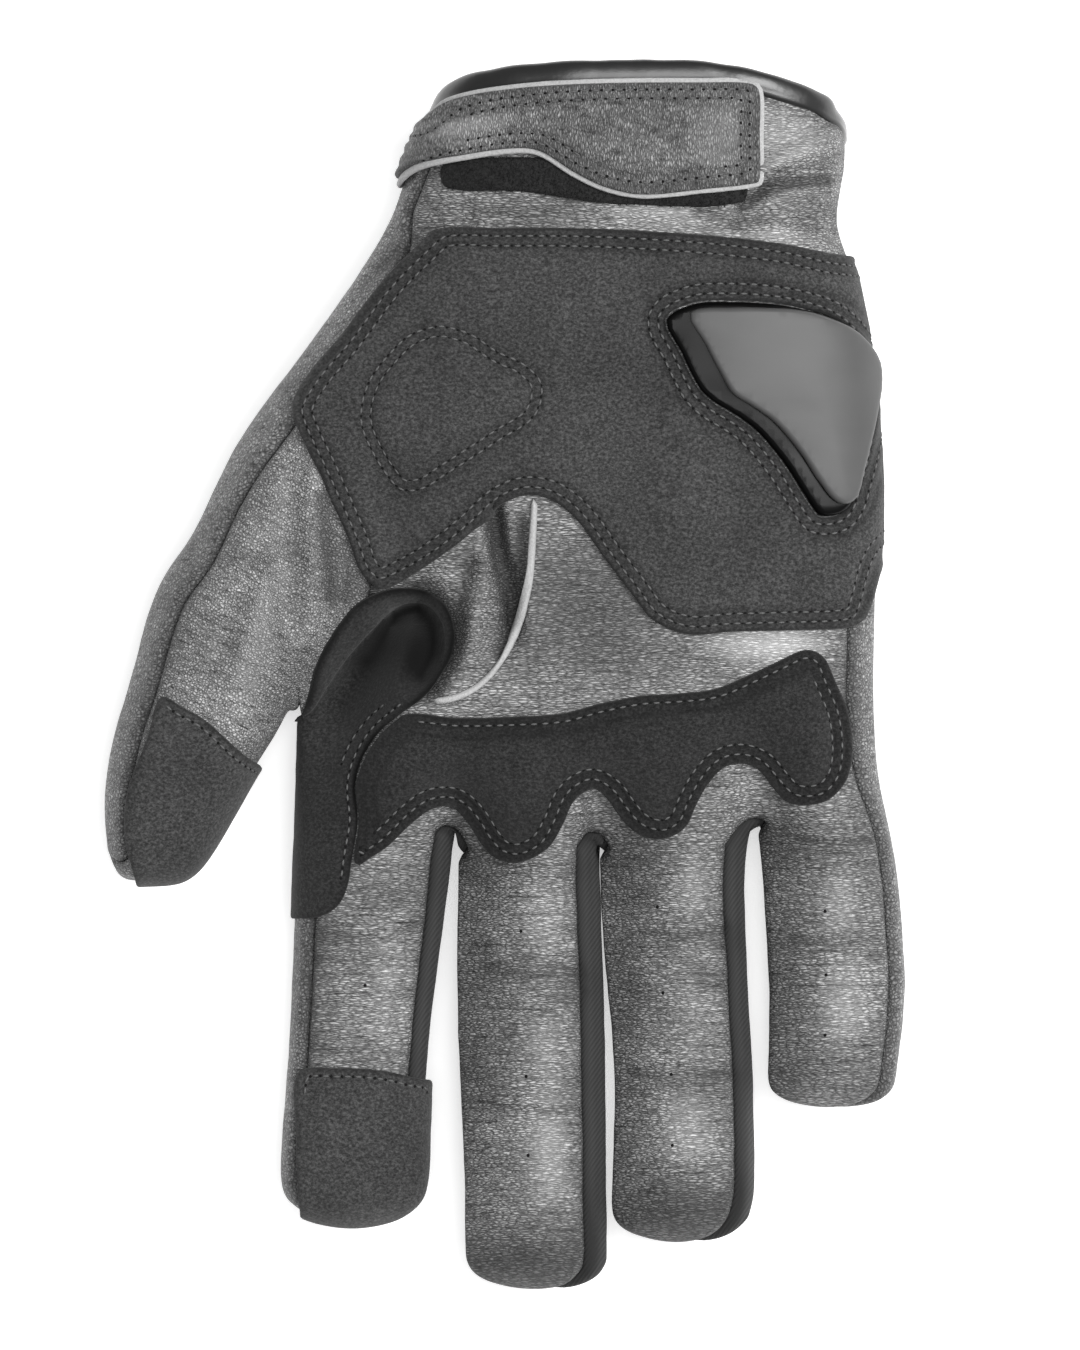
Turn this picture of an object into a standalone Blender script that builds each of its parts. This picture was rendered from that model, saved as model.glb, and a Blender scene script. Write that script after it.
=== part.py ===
"""Motorcycle glove for the right hand, in leather and suede, lying on its back with the palm up.

Metres. +Z is up out of the palm, +Y runs to the cuff, -X to the thumb. The outer surface is one
smooth skin drawn through cross sections. It is cut into sewn panels along its seams, each panel gets
its wall towards the hollow, and the overlays, tip patches, palm slider, strap and binding lie on it.
"""
import math
from collections import namedtuple

import bpy
import bmesh
import numpy as np

# Fingers: length from the line of the finger roots to the tip, and width at the root
INDEX_LENGTH = 0.0762
MIDDLE_LENGTH = 0.0895
RING_LENGTH = 0.0803
LITTLE_LENGTH = 0.0541
INDEX_WIDTH = 0.0295
MIDDLE_WIDTH = 0.0268
RING_WIDTH = 0.0272
LITTLE_WIDTH = 0.0257
INDEX_MIDDLE_GAP = 0.0031
MIDDLE_RING_GAP = 0.0012
RING_LITTLE_GAP = 0.0043
FINGER_DEPTH = 0.0225

# Palm, cuff and thumb
PALM_LENGTH = 0.1505
PALM_DEPTH = 0.0350
CUFF_WIDTH = 0.0803
CUFF_DEPTH = 0.0400
CUFF_ARCH = 0.0090
THUMB_REACH = 0.0282
THUMB_WIDTH = 0.0300
THUMB_DEPTH = 0.0270

# Walls and what lies on them
LEATHER = 0.0018
SUEDE = 0.0012
PADDED_SUEDE = 0.0020
HEEL_PAD_RISE = 0.0014
SEAM_EDGE_WIDTH = 0.0013
SEAM_EDGE_HEIGHT = 0.0009
SLIDER_BASE_HEIGHT = 0.0026
SLIDER_PLATE_HEIGHT = 0.0016
HOOK_PATCH_THICKNESS = 0.0012
STRAP_THICKNESS = 0.0016
BINDING_HEIGHT = 0.0036
BINDING_THICKNESS = 0.0034
CLEARANCE = 0.0003
REST_FLATTENING = 0.0012

PALM_WIDTH = (INDEX_WIDTH + INDEX_MIDDLE_GAP + MIDDLE_WIDTH + MIDDLE_RING_GAP
              + RING_WIDTH + RING_LITTLE_GAP + LITTLE_WIDTH)
LEATHER_TOP = PALM_LENGTH - BINDING_HEIGHT - CLEARANCE
THUMB_CROTCH = 0.119 * PALM_LENGTH

# Fingers, sections from root to tip. along: share of the finger's length. shift and width: shares of
# its width. depth and lift: shares of the finger depth. The last row is the middle of the tip.
FingerSection = namedtuple("FingerSection", "along shift width depth lift")
INDEX_SECTIONS = (
    (0.01, 0.040, 1.03, 1.22, 0.00), (0.24, -0.010, 0.98, 1.03, 0.00), (0.54, -0.075, 0.92, 1.00, 0.00),
    (0.82, -0.120, 0.93, 0.92, 0.10), (0.95, -0.130, 0.79, 0.66, 0.28), (1.00, -0.130, 0.00, 0.00, 0.60))
MIDDLE_SECTIONS = (
    (0.04, 0.000, 1.00, 1.20, 0.00), (0.28, 0.010, 1.01, 1.03, 0.00), (0.57, 0.035, 1.01, 1.00, 0.00),
    (0.84, 0.054, 0.98, 0.92, 0.12), (0.96, 0.062, 0.88, 0.66, 0.30), (1.00, 0.065, 0.00, 0.00, 0.62))
RING_SECTIONS = (
    (0.04, -0.007, 1.03, 1.18, 0.00), (0.28, 0.015, 0.98, 1.01, 0.00), (0.57, 0.070, 0.95, 0.98, 0.00),
    (0.84, 0.075, 0.98, 0.90, 0.11), (0.96, 0.050, 0.82, 0.64, 0.28), (1.00, 0.040, 0.00, 0.00, 0.60))
LITTLE_SECTIONS = (
    (-0.02, -0.080, 0.98, 1.12, 0.00), (0.24, 0.000, 1.00, 0.97, 0.00), (0.58, 0.040, 1.00, 0.92, 0.00),
    (0.84, 0.010, 0.95, 0.84, 0.09), (0.95, 0.000, 0.80, 0.60, 0.24), (1.00, 0.000, 0.00, 0.00, 0.54))

# The eight points of a finger's section, from the seam left of the palm side over the palm side to the
# right and round the back, as (across, up). across: share of half the width. up: 1 on the palm side,
# -1 on the back, 0 half way.
INDEX_RING = ((-0.76, 1), (0.04, 1), (0.80, 1), (1, 0), (0.76, -1), (0, -1), (-0.76, -1), (-1, 0))
MIDDLE_RING = ((-0.92, 1), (-0.08, 1), (0.72, 1), (1, 0), (0.76, -1), (0, -1), (-0.76, -1), (-1, 0))
RING_RING = ((-0.92, 1), (-0.08, 1), (0.75, 1), (1, 0), (0.76, -1), (0, -1), (-0.76, -1), (-1, 0))
LITTLE_RING = ((-0.88, 1), (-0.04, 1), (0.80, 1), (1, 0), (0.76, -1), (0, -1), (-0.76, -1), (-1, 0))

# Palm and cuff, sections from the cuff's edge to the thumb's crotch. up: share of the palm length
# above the finger roots. left, right: the silhouette, and first: the first column on the palm side,
# all in shares of the palm width from its middle. depth: share of the palm depth. drop: how far the
# first column sinks, as a share of the palm depth. On the two cuff rows left and right are shares of
# the cuff width and depth is one of the cuff depth.
PalmSection = namedtuple("PalmSection", "up left right first depth drop")
CUFF_SECTIONS = (
    (0.913, -0.500, 0.500, -0.460, 1.00, 0.00),
    (0.850, -0.555, 0.500, -0.510, 1.00, 0.00))
PALM_SECTIONS = (
    (0.790, -0.339, 0.396, -0.312, 1.04, 0.00),
    (0.704, -0.408, 0.424, -0.330, 1.00, 0.00),
    (0.530, -0.585, 0.458, -0.372, 1.00, 0.00),
    (0.330, -0.600, 0.460, -0.365, 0.98, 0.10),
    (0.123, -0.489, 0.459, -0.440, 0.92, 0.12))
PALM_STEPS = (0.0, 0.100, 0.220, 0.345, 0.480, 0.610, 0.745, 0.865, 0.955)
CUFF_ROW_COUNT = len(CUFF_SECTIONS)
# the cuff's middle lies over the little finger's half of the palm, and its back rises less than its sides
CUFF_SHIFT = 0.065
CUFF_BACK_RISE = -0.2
THUMB_FIRST_ROW = CUFF_ROW_COUNT + 1
THUMB_LAST_ROW = CUFF_ROW_COUNT + len(PALM_SECTIONS) - 1

# Thumb base: sections that fan out from the crotch. Outer and inner points: across in shares of the
# palm width, up in shares of the palm length above the crotch or, below it, of the thumb's reach.
# depth and lift: shares of the thumb depth.
ThumbSection = namedtuple("ThumbSection", "inner_across inner_up outer_across outer_up depth lift")
THUMB_BASE_SECTIONS = (
    (-0.490, -0.020, -0.505, 0.478, 1.20, 0.00),
    (-0.495, -0.040, -0.601, 0.372, 1.14, 0.00),
    (-0.503, -0.076, -0.670, 0.261, 1.08, 0.00))
# Thumb: the inner point as above, and the way from it to the outer one in shares of the thumb width
THUMB_SECTIONS = (
    (-0.513, -0.124, -0.838, 0.818, 1.04, 0.00),
    (-0.535, -0.207, -0.935, 0.351, 1.00, 0.03),
    (-0.581, -0.420, -0.896, 0.071, 0.90, 0.09),
    (-0.650, -0.800, -0.600, -0.040, 0.62, 0.26))
THUMB_TIP = ((-0.750, -0.975), (-0.702, -0.965))
THUMB_TIP_LIFT = 0.56
THUMB_STEPS = (0.17, 0.40, 0.63, 0.85)

# Dents: from one point to another, across in shares of the palm width from its middle and up in
# shares of the palm length. half_width: share of the palm width. depth: share of the palm depth,
# below 0 for a ridge.
Dent = namedtuple("Dent", "across up to_across to_up half_width depth")
DENTS = (
    # the valley between the thumb and the index finger
    (-0.290, 0.295, -0.425, 0.170, 0.060, 0.24),
    # the pleat beside the thumb's seam edge
    (-0.165, 0.395, -0.142, 0.245, 0.026, 0.08),
    # the hollow of the palm
    (0.060, 0.640, -0.050, 0.300, 0.130, 0.05),
    # the crease from the strap to the little finger's side of the wrist, and the ridge above it
    (0.250, 0.806, 0.395, 0.778, 0.026, 0.09),
    (0.280, 0.850, 0.398, 0.892, 0.022, -0.05),
    # the wrist on the thumb's side
    (-0.330, 0.770, -0.230, 0.782, 0.028, 0.05))

# Outlines on the palm side. Each point is across in shares of the palm width from its middle, and up
# in shares of the palm length from the line of the finger roots.
PALM_OVERLAY = (
    (-0.253, 0.775), (-0.290, 0.753), (-0.353, 0.703), (-0.416, 0.637), (-0.467, 0.590), (-0.498, 0.548),
    (-0.493, 0.522), (-0.454, 0.455), (-0.408, 0.373), (-0.389, 0.333), (-0.360, 0.315), (-0.304, 0.332),
    (-0.252, 0.357), (-0.201, 0.389), (-0.155, 0.421), (-0.114, 0.432), (-0.073, 0.425), (-0.031, 0.398),
    (0.010, 0.353), (0.056, 0.306), (0.092, 0.271), (0.149, 0.253), (0.218, 0.256), (0.310, 0.258),
    (0.403, 0.261), (0.432, 0.269), (0.446, 0.291), (0.469, 0.349), (0.530, 0.401), (0.560, 0.556),
    (0.530, 0.698), (0.452, 0.734), (0.380, 0.743), (0.310, 0.755), (0.218, 0.764), (0.125, 0.770),
    (0.033, 0.774), (-0.059, 0.776), (-0.158, 0.776))
SLIDER_BASE = (
    (0.114, 0.658), (0.158, 0.678), (0.218, 0.681), (0.287, 0.678), (0.337, 0.671), (0.383, 0.659),
    (0.416, 0.638), (0.439, 0.607), (0.447, 0.556), (0.439, 0.504), (0.422, 0.452), (0.403, 0.413),
    (0.366, 0.406), (0.348, 0.422), (0.310, 0.469), (0.264, 0.513), (0.228, 0.535), (0.190, 0.553),
    (0.167, 0.571), (0.139, 0.615))
SLIDER_PLATE = (
    (0.153, 0.668), (0.218, 0.674), (0.287, 0.673), (0.343, 0.667), (0.384, 0.654), (0.417, 0.633),
    (0.437, 0.605), (0.441, 0.568), (0.434, 0.523), (0.421, 0.465), (0.411, 0.429), (0.398, 0.421),
    (0.380, 0.426), (0.356, 0.451), (0.320, 0.495), (0.284, 0.527), (0.246, 0.549), (0.218, 0.563),
    (0.200, 0.589), (0.177, 0.625))
KNUCKLE_OVERLAY = (
    (-0.310, 0.151), (-0.228, 0.146), (-0.142, 0.147), (-0.059, 0.151), (0.005, 0.164), (0.073, 0.174),
    (0.134, 0.177), (0.195, 0.183), (0.256, 0.203), (0.302, 0.220), (0.342, 0.233), (0.370, 0.225),
    (0.389, 0.194), (0.408, 0.158), (0.416, 0.123), (0.416, 0.090), (0.406, 0.062), (0.380, 0.040),
    (0.342, 0.034), (0.314, 0.040), (0.292, 0.057), (0.266, 0.080), (0.238, 0.088), (0.208, 0.083),
    (0.182, 0.062), (0.163, 0.035), (0.145, 0.005), (0.114, -0.009), (0.081, -0.006), (0.058, 0.005),
    (0.035, 0.026), (0.017, 0.045), (-0.010, 0.056), (-0.040, 0.041), (-0.059, 0.008), (-0.083, -0.023),
    (-0.125, -0.040), (-0.162, -0.035), (-0.185, -0.017), (-0.210, 0.013), (-0.236, 0.031),
    (-0.269, 0.031), (-0.299, 0.016), (-0.345, -0.019), (-0.373, -0.034), (-0.396, -0.044),
    (-0.405, 0.000), (-0.400, 0.039), (-0.383, 0.084), (-0.356, 0.119), (-0.330, 0.140))
CROTCH_OVERLAY = (
    (-0.452, 0.130), (-0.458, 0.172), (-0.446, 0.236), (-0.422, 0.270), (-0.396, 0.293), (-0.361, 0.308),
    (-0.323, 0.314), (-0.282, 0.310), (-0.249, 0.292), (-0.233, 0.258), (-0.238, 0.225), (-0.261, 0.194),
    (-0.285, 0.171), (-0.323, 0.150), (-0.360, 0.125), (-0.386, 0.093), (-0.398, 0.058), (-0.394, 0.013),
    (-0.403, -0.032), (-0.411, -0.071), (-0.426, -0.096), (-0.452, -0.110), (-0.490, -0.114),
    (-0.540, -0.112), (-0.540, 0.055), (-0.496, 0.074))
INDEX_TIP_PATCH = (
    (-0.488, -0.313), (-0.426, -0.307), (-0.356, -0.310), (-0.312, -0.318), (-0.270, -0.330),
    (-0.262, -0.420), (-0.290, -0.535), (-0.380, -0.545), (-0.470, -0.530), (-0.489, -0.480),
    (-0.492, -0.390))
THUMB_TIP_PATCH = (
    (-0.716, 0.172), (-0.683, 0.159), (-0.645, 0.142), (-0.607, 0.115), (-0.582, 0.097), (-0.540, 0.070),
    (-0.550, 0.020), (-0.600, -0.040), (-0.660, -0.090), (-0.745, -0.095), (-0.767, -0.040),
    (-0.775, 0.002), (-0.772, 0.042), (-0.759, 0.078), (-0.738, 0.120))
HOOK_PATCH = (
    (-0.250, 0.856), (-0.160, 0.866), (0.060, 0.858), (0.170, 0.842), (0.244, 0.840), (0.236, 0.814),
    (0.172, 0.806), (0.007, 0.810), (-0.125, 0.824), (-0.246, 0.829))
WRIST_STRAP = (
    (-0.400, 0.915), (-0.294, 0.910), (-0.230, 0.942), (-0.146, 0.957), (-0.020, 0.965), (0.170, 0.967),
    (0.252, 0.965), (0.267, 0.950), (0.268, 0.895), (0.268, 0.840), (0.260, 0.833), (0.170, 0.825),
    (0.075, 0.819), (0.012, 0.827), (-0.041, 0.844), (-0.094, 0.868), (-0.130, 0.871), (-0.198, 0.864),
    (-0.277, 0.850), (-0.325, 0.827), (-0.341, 0.815), (-0.400, 0.800))
# The raw edge of the palm leather that curves from the overlay to the knuckle overlay
SEAM_EDGE = (
    (-0.104, 0.424), (-0.105, 0.390), (-0.109, 0.338), (-0.116, 0.299), (-0.127, 0.266), (-0.145, 0.234),
    (-0.168, 0.208), (-0.198, 0.186), (-0.231, 0.173), (-0.262, 0.166))
HEEL_PAD_CENTRE = (-0.245, 0.545)
HEEL_PAD_RADII = (0.130, 0.100)

# How far down the side each overlay reaches, as a share of the palm depth
PALM_OVERLAY_LOW = 0.42
KNUCKLE_OVERLAY_LOW = 0.40
CROTCH_OVERLAY_LOW = 0.22
TIP_PATCH_LOW = 0.36
STRAP_LOW = 0.20

# A dent is full where the surface faces up, and fades out down its sides
DENT_FADE = 1.6
DENT_AT_SIDE = 0.3

# How the surfaces are drawn
SECTION_POWER = 2.5
BACK_POWER = 3.2
SMOOTH_LEVEL = 1
SMOOTH_ROUNDS = 6
OUTLINE_STEPS = 1
BINDING_SIDES = 6
CORNER_LIMIT = 0.5
WELD_DISTANCE = 0.000002

# Panels that a cage face can belong to
PALM, THUMB, SIDE, BACK, GUSSET_1, GUSSET_2, GUSSET_3 = range(7)
PALM_SIDE = (PALM, THUMB, SIDE, GUSSET_1, GUSSET_2, GUSSET_3)

MATERIALS = {
    "leather": ((0.17, 0.17, 0.17), 0.55),
    "back_leather": ((0.12, 0.12, 0.12), 0.55),
    "textile": ((0.022, 0.022, 0.022), 0.9),
    "suede": ((0.045, 0.045, 0.045), 0.95),
    "dark_suede": ((0.028, 0.028, 0.028), 0.95),
    "slider_plastic": ((0.21, 0.21, 0.21), 0.45),
    "gloss_plastic": ((0.006, 0.006, 0.006), 0.15),
    "binding": ((0.03, 0.03, 0.03), 0.3),
    "raw_edge": ((0.5, 0.5, 0.5), 0.8),
    "hook_fabric": ((0.015, 0.015, 0.015), 0.95),
}


def across(share):
    """X of a share of the palm width, from the palm's middle."""
    return share * PALM_WIDTH


def height_over(u, power):
    """Height of a rounded section at u, from 1 in its middle to 0 at its sides."""
    return (1.0 - min(abs(u), 1.0) ** power) ** (1.0 / power)


def finger_places():
    """X of each finger's middle at the root line, from the palm's middle."""
    index = -PALM_WIDTH / 2 + INDEX_WIDTH / 2
    middle = index + INDEX_WIDTH / 2 + INDEX_MIDDLE_GAP + MIDDLE_WIDTH / 2
    ring = middle + MIDDLE_WIDTH / 2 + MIDDLE_RING_GAP + RING_WIDTH / 2
    little = ring + RING_WIDTH / 2 + RING_LITTLE_GAP + LITTLE_WIDTH / 2
    return index, middle, ring, little


def section_height(u, up, depth, lift):
    """Z of a point of a section: on the palm side, on the back, or half way up its side."""
    half = depth / 2
    if up == 0:
        return lift + half
    power = SECTION_POWER if up > 0 else BACK_POWER
    z = lift + half + up * half * height_over(u, power)
    return z - (REST_FLATTENING if up < 0 and lift == 0 else 0.0)


class Cage:
    """The coarse net of the outer surface: its points, its faces and the panel of each face."""

    def __init__(self):
        self.points = []
        self.faces = []
        self.panels = []

    def add(self, x, y, z):
        self.points.append((x, y, z))
        return len(self.points) - 1

    def face(self, corners, panel):
        self.faces.append(tuple(corners))
        self.panels.append(panel)

    def bridge(self, ring, next_ring, panels):
        """Faces between two rings of as many points, with a panel for each face or None."""
        count = len(ring)
        for i in range(count):
            j = (i + 1) % count
            if panels[i] is not None:
                self.face((ring[i], next_ring[i], next_ring[j], ring[j]), panels[i])


def palm_ring(cage, row, section):
    """One ring of the palm: its columns over the palm side, the right side, the back, the left side."""
    on_cuff = row < CUFF_ROW_COUNT
    width, depth = (CUFF_WIDTH, CUFF_DEPTH) if on_cuff else (PALM_WIDTH, PALM_DEPTH)
    middle = across(CUFF_SHIFT) if on_cuff else 0.0
    left, right, first = (middle + share * width for share in (section.left, section.right, section.first))
    depth *= section.depth
    centre = (left + right) / 2
    half = (right - left) / 2
    y = section.up * PALM_LENGTH

    def place(x, side):
        u = (x - centre) / half
        z = section_height(u, side, depth, 0.0)
        edge_y = y
        if row == 0:
            # the cuff is highest in the middle of the palm side and falls to its sides and its back
            rise = (z - depth / 2) / (depth / 2)
            edge_y = LEATHER_TOP - CUFF_ARCH * (1.0 - max(rise, CUFF_BACK_RISE))
        return x, edge_y, z

    columns = [first + step * (right - first) for step in PALM_STEPS]
    top = [place(x, 1) for x in columns]
    back = [place(x, -1) for x in columns]
    top[0] = (top[0][0], top[0][1], top[0][2] - section.drop * PALM_DEPTH)
    ring = [cage.add(*point) for point in top]
    ring.append(cage.add(*place(right, 0)))
    ring += [cage.add(*point) for point in reversed(back)]
    ring.append(cage.add(*place(left, 0)))
    return ring


def finger_ring(cage, middle, width, length, section, ring_shape):
    """One section of a finger: eight points, from the left seam over the palm side and round the back."""
    centre = middle + section.shift * width
    half = section.width * width / 2
    y = -section.along * length
    depth = section.depth * FINGER_DEPTH
    base = section.lift * FINGER_DEPTH
    return [cage.add(centre + u * half, y, section_height(u, up, depth, base)) for u, up in ring_shape]


def add_finger(cage, middle, width, length, sections, ring_shape, left_panel, right_panel):
    """A finger from its root ring to its closed tip. Returns the root ring."""
    sections = [FingerSection(*row) for row in sections]
    rings = [finger_ring(cage, middle, width, length, section, ring_shape) for section in sections[:-1]]
    panels = (PALM, PALM, right_panel, right_panel, BACK, BACK, left_panel, left_panel)
    for ring, next_ring in zip(rings, rings[1:]):
        cage.bridge(ring, next_ring, panels)
    end = sections[-1]
    tip = cage.add(middle + end.shift * width, -end.along * length, end.lift * FINGER_DEPTH)
    last = rings[-1]
    cage.face((tip, last[1], last[0], last[7]), PALM)
    cage.face((last[3], last[2], last[1], tip), PALM)
    cage.face((last[4], last[3], tip, last[5]), BACK)
    cage.face((last[5], tip, last[7], last[6]), BACK)
    return rings[0]


def thumb_y(share):
    """Y of a thumb point: above the crotch with the palm length, below it with the thumb's reach."""
    return THUMB_CROTCH + share * (PALM_LENGTH if share > 0 else THUMB_REACH)


def thumb_ring(cage, outer, inner, section):
    """One section of the thumb: its columns over the palm side, the inner side, the back, the outer."""
    outer, inner = np.array(outer), np.array(inner)
    depth = section.depth * THUMB_DEPTH
    base = section.lift * THUMB_DEPTH

    def place(step, up):
        x, y = outer + step * (inner - outer)
        return cage.add(x, y, section_height(2 * step - 1, up, depth, base))

    ring = [place(step, 1) for step in THUMB_STEPS]
    ring.append(place(1.0, 0))
    ring += [place(step, -1) for step in reversed(THUMB_STEPS)]
    ring.append(place(0.0, 0))
    return ring


def add_thumb(cage, root):
    """The thumb, from the ring that the palm leaves open to its closed tip."""
    rings = [root]
    for section in (ThumbSection(*row) for row in THUMB_BASE_SECTIONS):
        inner = (across(section.inner_across), thumb_y(section.inner_up))
        outer = (across(section.outer_across), thumb_y(section.outer_up))
        rings.append(thumb_ring(cage, outer, inner, section))
    for section in (ThumbSection(*row) for row in THUMB_SECTIONS):
        inner = (across(section.inner_across), thumb_y(section.inner_up))
        way = (section.outer_across * THUMB_WIDTH, section.outer_up * THUMB_WIDTH)
        outer = (inner[0] + way[0], inner[1] + way[1])
        rings.append(thumb_ring(cage, outer, inner, section))
    count = len(THUMB_STEPS)
    panels = (THUMB,) * count + (BACK,) * count + (SIDE, SIDE)
    for ring, next_ring in zip(rings, rings[1:]):
        cage.bridge(ring, next_ring, panels)
    tip = [cage.add(across(x), thumb_y(y), THUMB_TIP_LIFT * THUMB_DEPTH) for x, y in THUMB_TIP]
    last = rings[-1]
    top = last[:count]
    middle = [last[-1]] + tip + [last[count]]
    back = last[2 * count:count:-1]
    for i in range(count - 1):
        cage.face((top[i], middle[i], middle[i + 1], top[i + 1]), THUMB)
        cage.face((middle[i], back[i], back[i + 1], middle[i + 1]), BACK)


def glove_cage():
    """The whole cage: cuff and palm rings, four fingers with the webs between them, and the thumb."""
    cage = Cage()
    places = finger_places()
    sections = [PalmSection(*row) for row in CUFF_SECTIONS + PALM_SECTIONS]
    rings = [palm_ring(cage, row, section) for row, section in enumerate(sections)]
    index = add_finger(cage, places[0], INDEX_WIDTH, INDEX_LENGTH, INDEX_SECTIONS, INDEX_RING,
                       SIDE, GUSSET_1)
    middle = add_finger(cage, places[1], MIDDLE_WIDTH, MIDDLE_LENGTH, MIDDLE_SECTIONS, MIDDLE_RING,
                        GUSSET_1, GUSSET_2)
    ring = add_finger(cage, places[2], RING_WIDTH, RING_LENGTH, RING_SECTIONS, RING_RING,
                      GUSSET_2, GUSSET_3)
    little = add_finger(cage, places[3], LITTLE_WIDTH, LITTLE_LENGTH, LITTLE_SECTIONS, LITTLE_RING,
                        GUSSET_3, SIDE)
    fingers = (index, middle, ring, little)
    for left, right, gusset in zip(fingers, fingers[1:], (GUSSET_1, GUSSET_2, GUSSET_3)):
        cage.face((left[2], left[3], right[7], right[0]), gusset)
        cage.face((left[3], left[4], right[6], right[7]), gusset)
    columns = len(PALM_STEPS)
    around = [PALM] * (columns - 1) + [SIDE, SIDE] + [BACK] * (columns - 1) + [SIDE, SIDE]
    open_side = around[:-2] + [None, None]
    for row in range(len(rings) - 1):
        on_thumb = THUMB_FIRST_ROW <= row < THUMB_LAST_ROW
        cage.bridge(rings[row], rings[row + 1], open_side if on_thumb else around)
    join_fingers(cage, rings[-1], fingers)
    thumb_rows = range(THUMB_FIRST_ROW, THUMB_LAST_ROW + 1)
    thumb_root = [rings[row][0] for row in thumb_rows]
    thumb_root.append(rings[THUMB_LAST_ROW][-1])
    thumb_root += [rings[row][-2] for row in reversed(thumb_rows)]
    thumb_root.append(rings[THUMB_FIRST_ROW][-1])
    add_thumb(cage, thumb_root)
    return cage


def join_fingers(cage, palm, fingers):
    """Faces from the last palm ring to the finger roots: every third column parts into two fingers."""
    columns = len(PALM_STEPS)
    back = palm[2 * columns:columns:-1]
    for i, finger in enumerate(fingers):
        a, b, c = palm[2 * i:2 * i + 3]
        cage.face((a, finger[0], finger[1], b), PALM)
        cage.face((b, finger[1], finger[2], c), PALM)
        a, b, c = back[2 * i:2 * i + 3]
        cage.face((b, finger[5], finger[6], a), BACK)
        cage.face((c, finger[4], finger[5], b), BACK)
    for i, (left, right) in enumerate(zip(fingers, fingers[1:])):
        cage.face((palm[2 * i + 2], left[2], right[0]), PALM)
        cage.face((back[2 * i + 2], right[6], left[4]), BACK)
    index, little = fingers[0], fingers[-1]
    right_side, left_side = palm[columns], palm[-1]
    cage.face((palm[columns - 1], little[2], little[3], right_side), SIDE)
    cage.face((right_side, little[3], little[4], back[-1]), SIDE)
    cage.face((back[0], index[6], index[7], left_side), SIDE)
    cage.face((left_side, index[7], index[0], palm[0]), SIDE)


def mesh_from(name, points, faces, panels=None):
    """A mesh with its panel numbers as material indices."""
    mesh = bpy.data.meshes.new(name)
    mesh.from_pydata([tuple(p) for p in points], [], [tuple(f) for f in faces])
    if panels is not None:
        for polygon, panel in zip(mesh.polygons, panels):
            polygon.material_index = int(panel)
    return mesh


def smoothed(cage, points, level):
    """The cage after Subdivision Surface: points, faces and panels of the smooth surface."""
    mesh = mesh_from("smooth_cage", points, cage.faces, cage.panels)
    for _ in range(len(set(cage.panels))):
        mesh.materials.append(None)
    thing = bpy.data.objects.new("smooth_cage", mesh)
    bpy.context.scene.collection.objects.link(thing)
    smooth = thing.modifiers.new("smooth", "SUBSURF")
    smooth.levels = smooth.render_levels = level
    shown = thing.evaluated_get(bpy.context.evaluated_depsgraph_get()).to_mesh()
    places = np.array([tuple(v.co) for v in shown.vertices])
    faces = [tuple(p.vertices) for p in shown.polygons]
    panels = [p.material_index for p in shown.polygons]
    bpy.data.objects.remove(thing)
    bpy.data.meshes.remove(mesh)
    return places, faces, panels


def used_only(cage):
    """Drops the side points that the thumb's opening leaves unused."""
    used = sorted({corner for face in cage.faces for corner in face})
    number = {old: new for new, old in enumerate(used)}
    cage.points = [cage.points[old] for old in used]
    cage.faces = [tuple(number[corner] for corner in face) for face in cage.faces]


def dented(points, normals):
    """The points with the dents pressed in, on the palm side only, and the back flat where it rests."""
    result = points.copy()
    facing = np.clip(normals[:, 2] * DENT_FADE + DENT_AT_SIDE, 0.0, 1.0)
    for dent in (Dent(*row) for row in DENTS):
        start = np.array((across(dent.across), dent.up * PALM_LENGTH))
        way = np.array((across(dent.to_across), dent.to_up * PALM_LENGTH)) - start
        along = np.clip((points[:, :2] - start) @ way / (way @ way), 0.0, 1.0)
        away = np.linalg.norm(points[:, :2] - start - along[:, None] * way, axis=1)
        profile = np.exp(-(away / across(dent.half_width)) ** 2)
        result[:, 2] -= dent.depth * PALM_DEPTH * facing * profile
    result[:, 2] = np.maximum(result[:, 2], 0.0)
    return result


class Skin:
    """The smooth outer surface, with the normals that all panels share."""

    def __init__(self, cage):
        target = np.array(cage.points)
        points = target.copy()
        for _ in range(SMOOTH_ROUNDS):
            points += target - smoothed(cage, points, SMOOTH_LEVEL)[0][:len(target)]
        self.points, self.faces, self.panels = smoothed(cage, points, SMOOTH_LEVEL)
        self.points = dented(self.points, self.vertex_normals())
        self.normals = self.vertex_normals()

    def vertex_normals(self):
        mesh = mesh_from("normals", self.points, self.faces)
        normals = np.array([tuple(n.vector) for n in mesh.vertex_normals])
        bpy.data.meshes.remove(mesh)
        return normals

    def edge_loop(self):
        """The points of the cuff's open edge, in order."""
        following = dict(border_edges(self.faces))
        start = min(following)
        loop = [start]
        while following[loop[-1]] != start:
            loop.append(following[loop[-1]])
        return loop


def border_edges(faces):
    """Directed edges that only one of the faces has."""
    edges = {(face[i], face[(i + 1) % len(face)]) for face in faces for i in range(len(face))}
    return [(a, b) for a, b in edges if (b, a) not in edges]


def seam_inset(skin, faces, distance):
    """How far each border point moves into its panel, so that neighbours keep a gap at the seam.

    CORNER_LIMIT keeps a point at a sharp corner from moving too far.
    """
    inward = {}
    for a, b in border_edges(faces):
        way = skin.points[b] - skin.points[a]
        normal = skin.normals[a] + skin.normals[b]
        side = np.cross(normal, way)
        side /= np.linalg.norm(side)
        for corner in (a, b):
            inward.setdefault(corner, []).append(side)
    moves = {}
    for corner, sides in inward.items():
        total = np.sum(sides, axis=0)
        moves[corner] = distance * len(sides) * total / max(total @ total, CORNER_LIMIT)
    return moves


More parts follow.
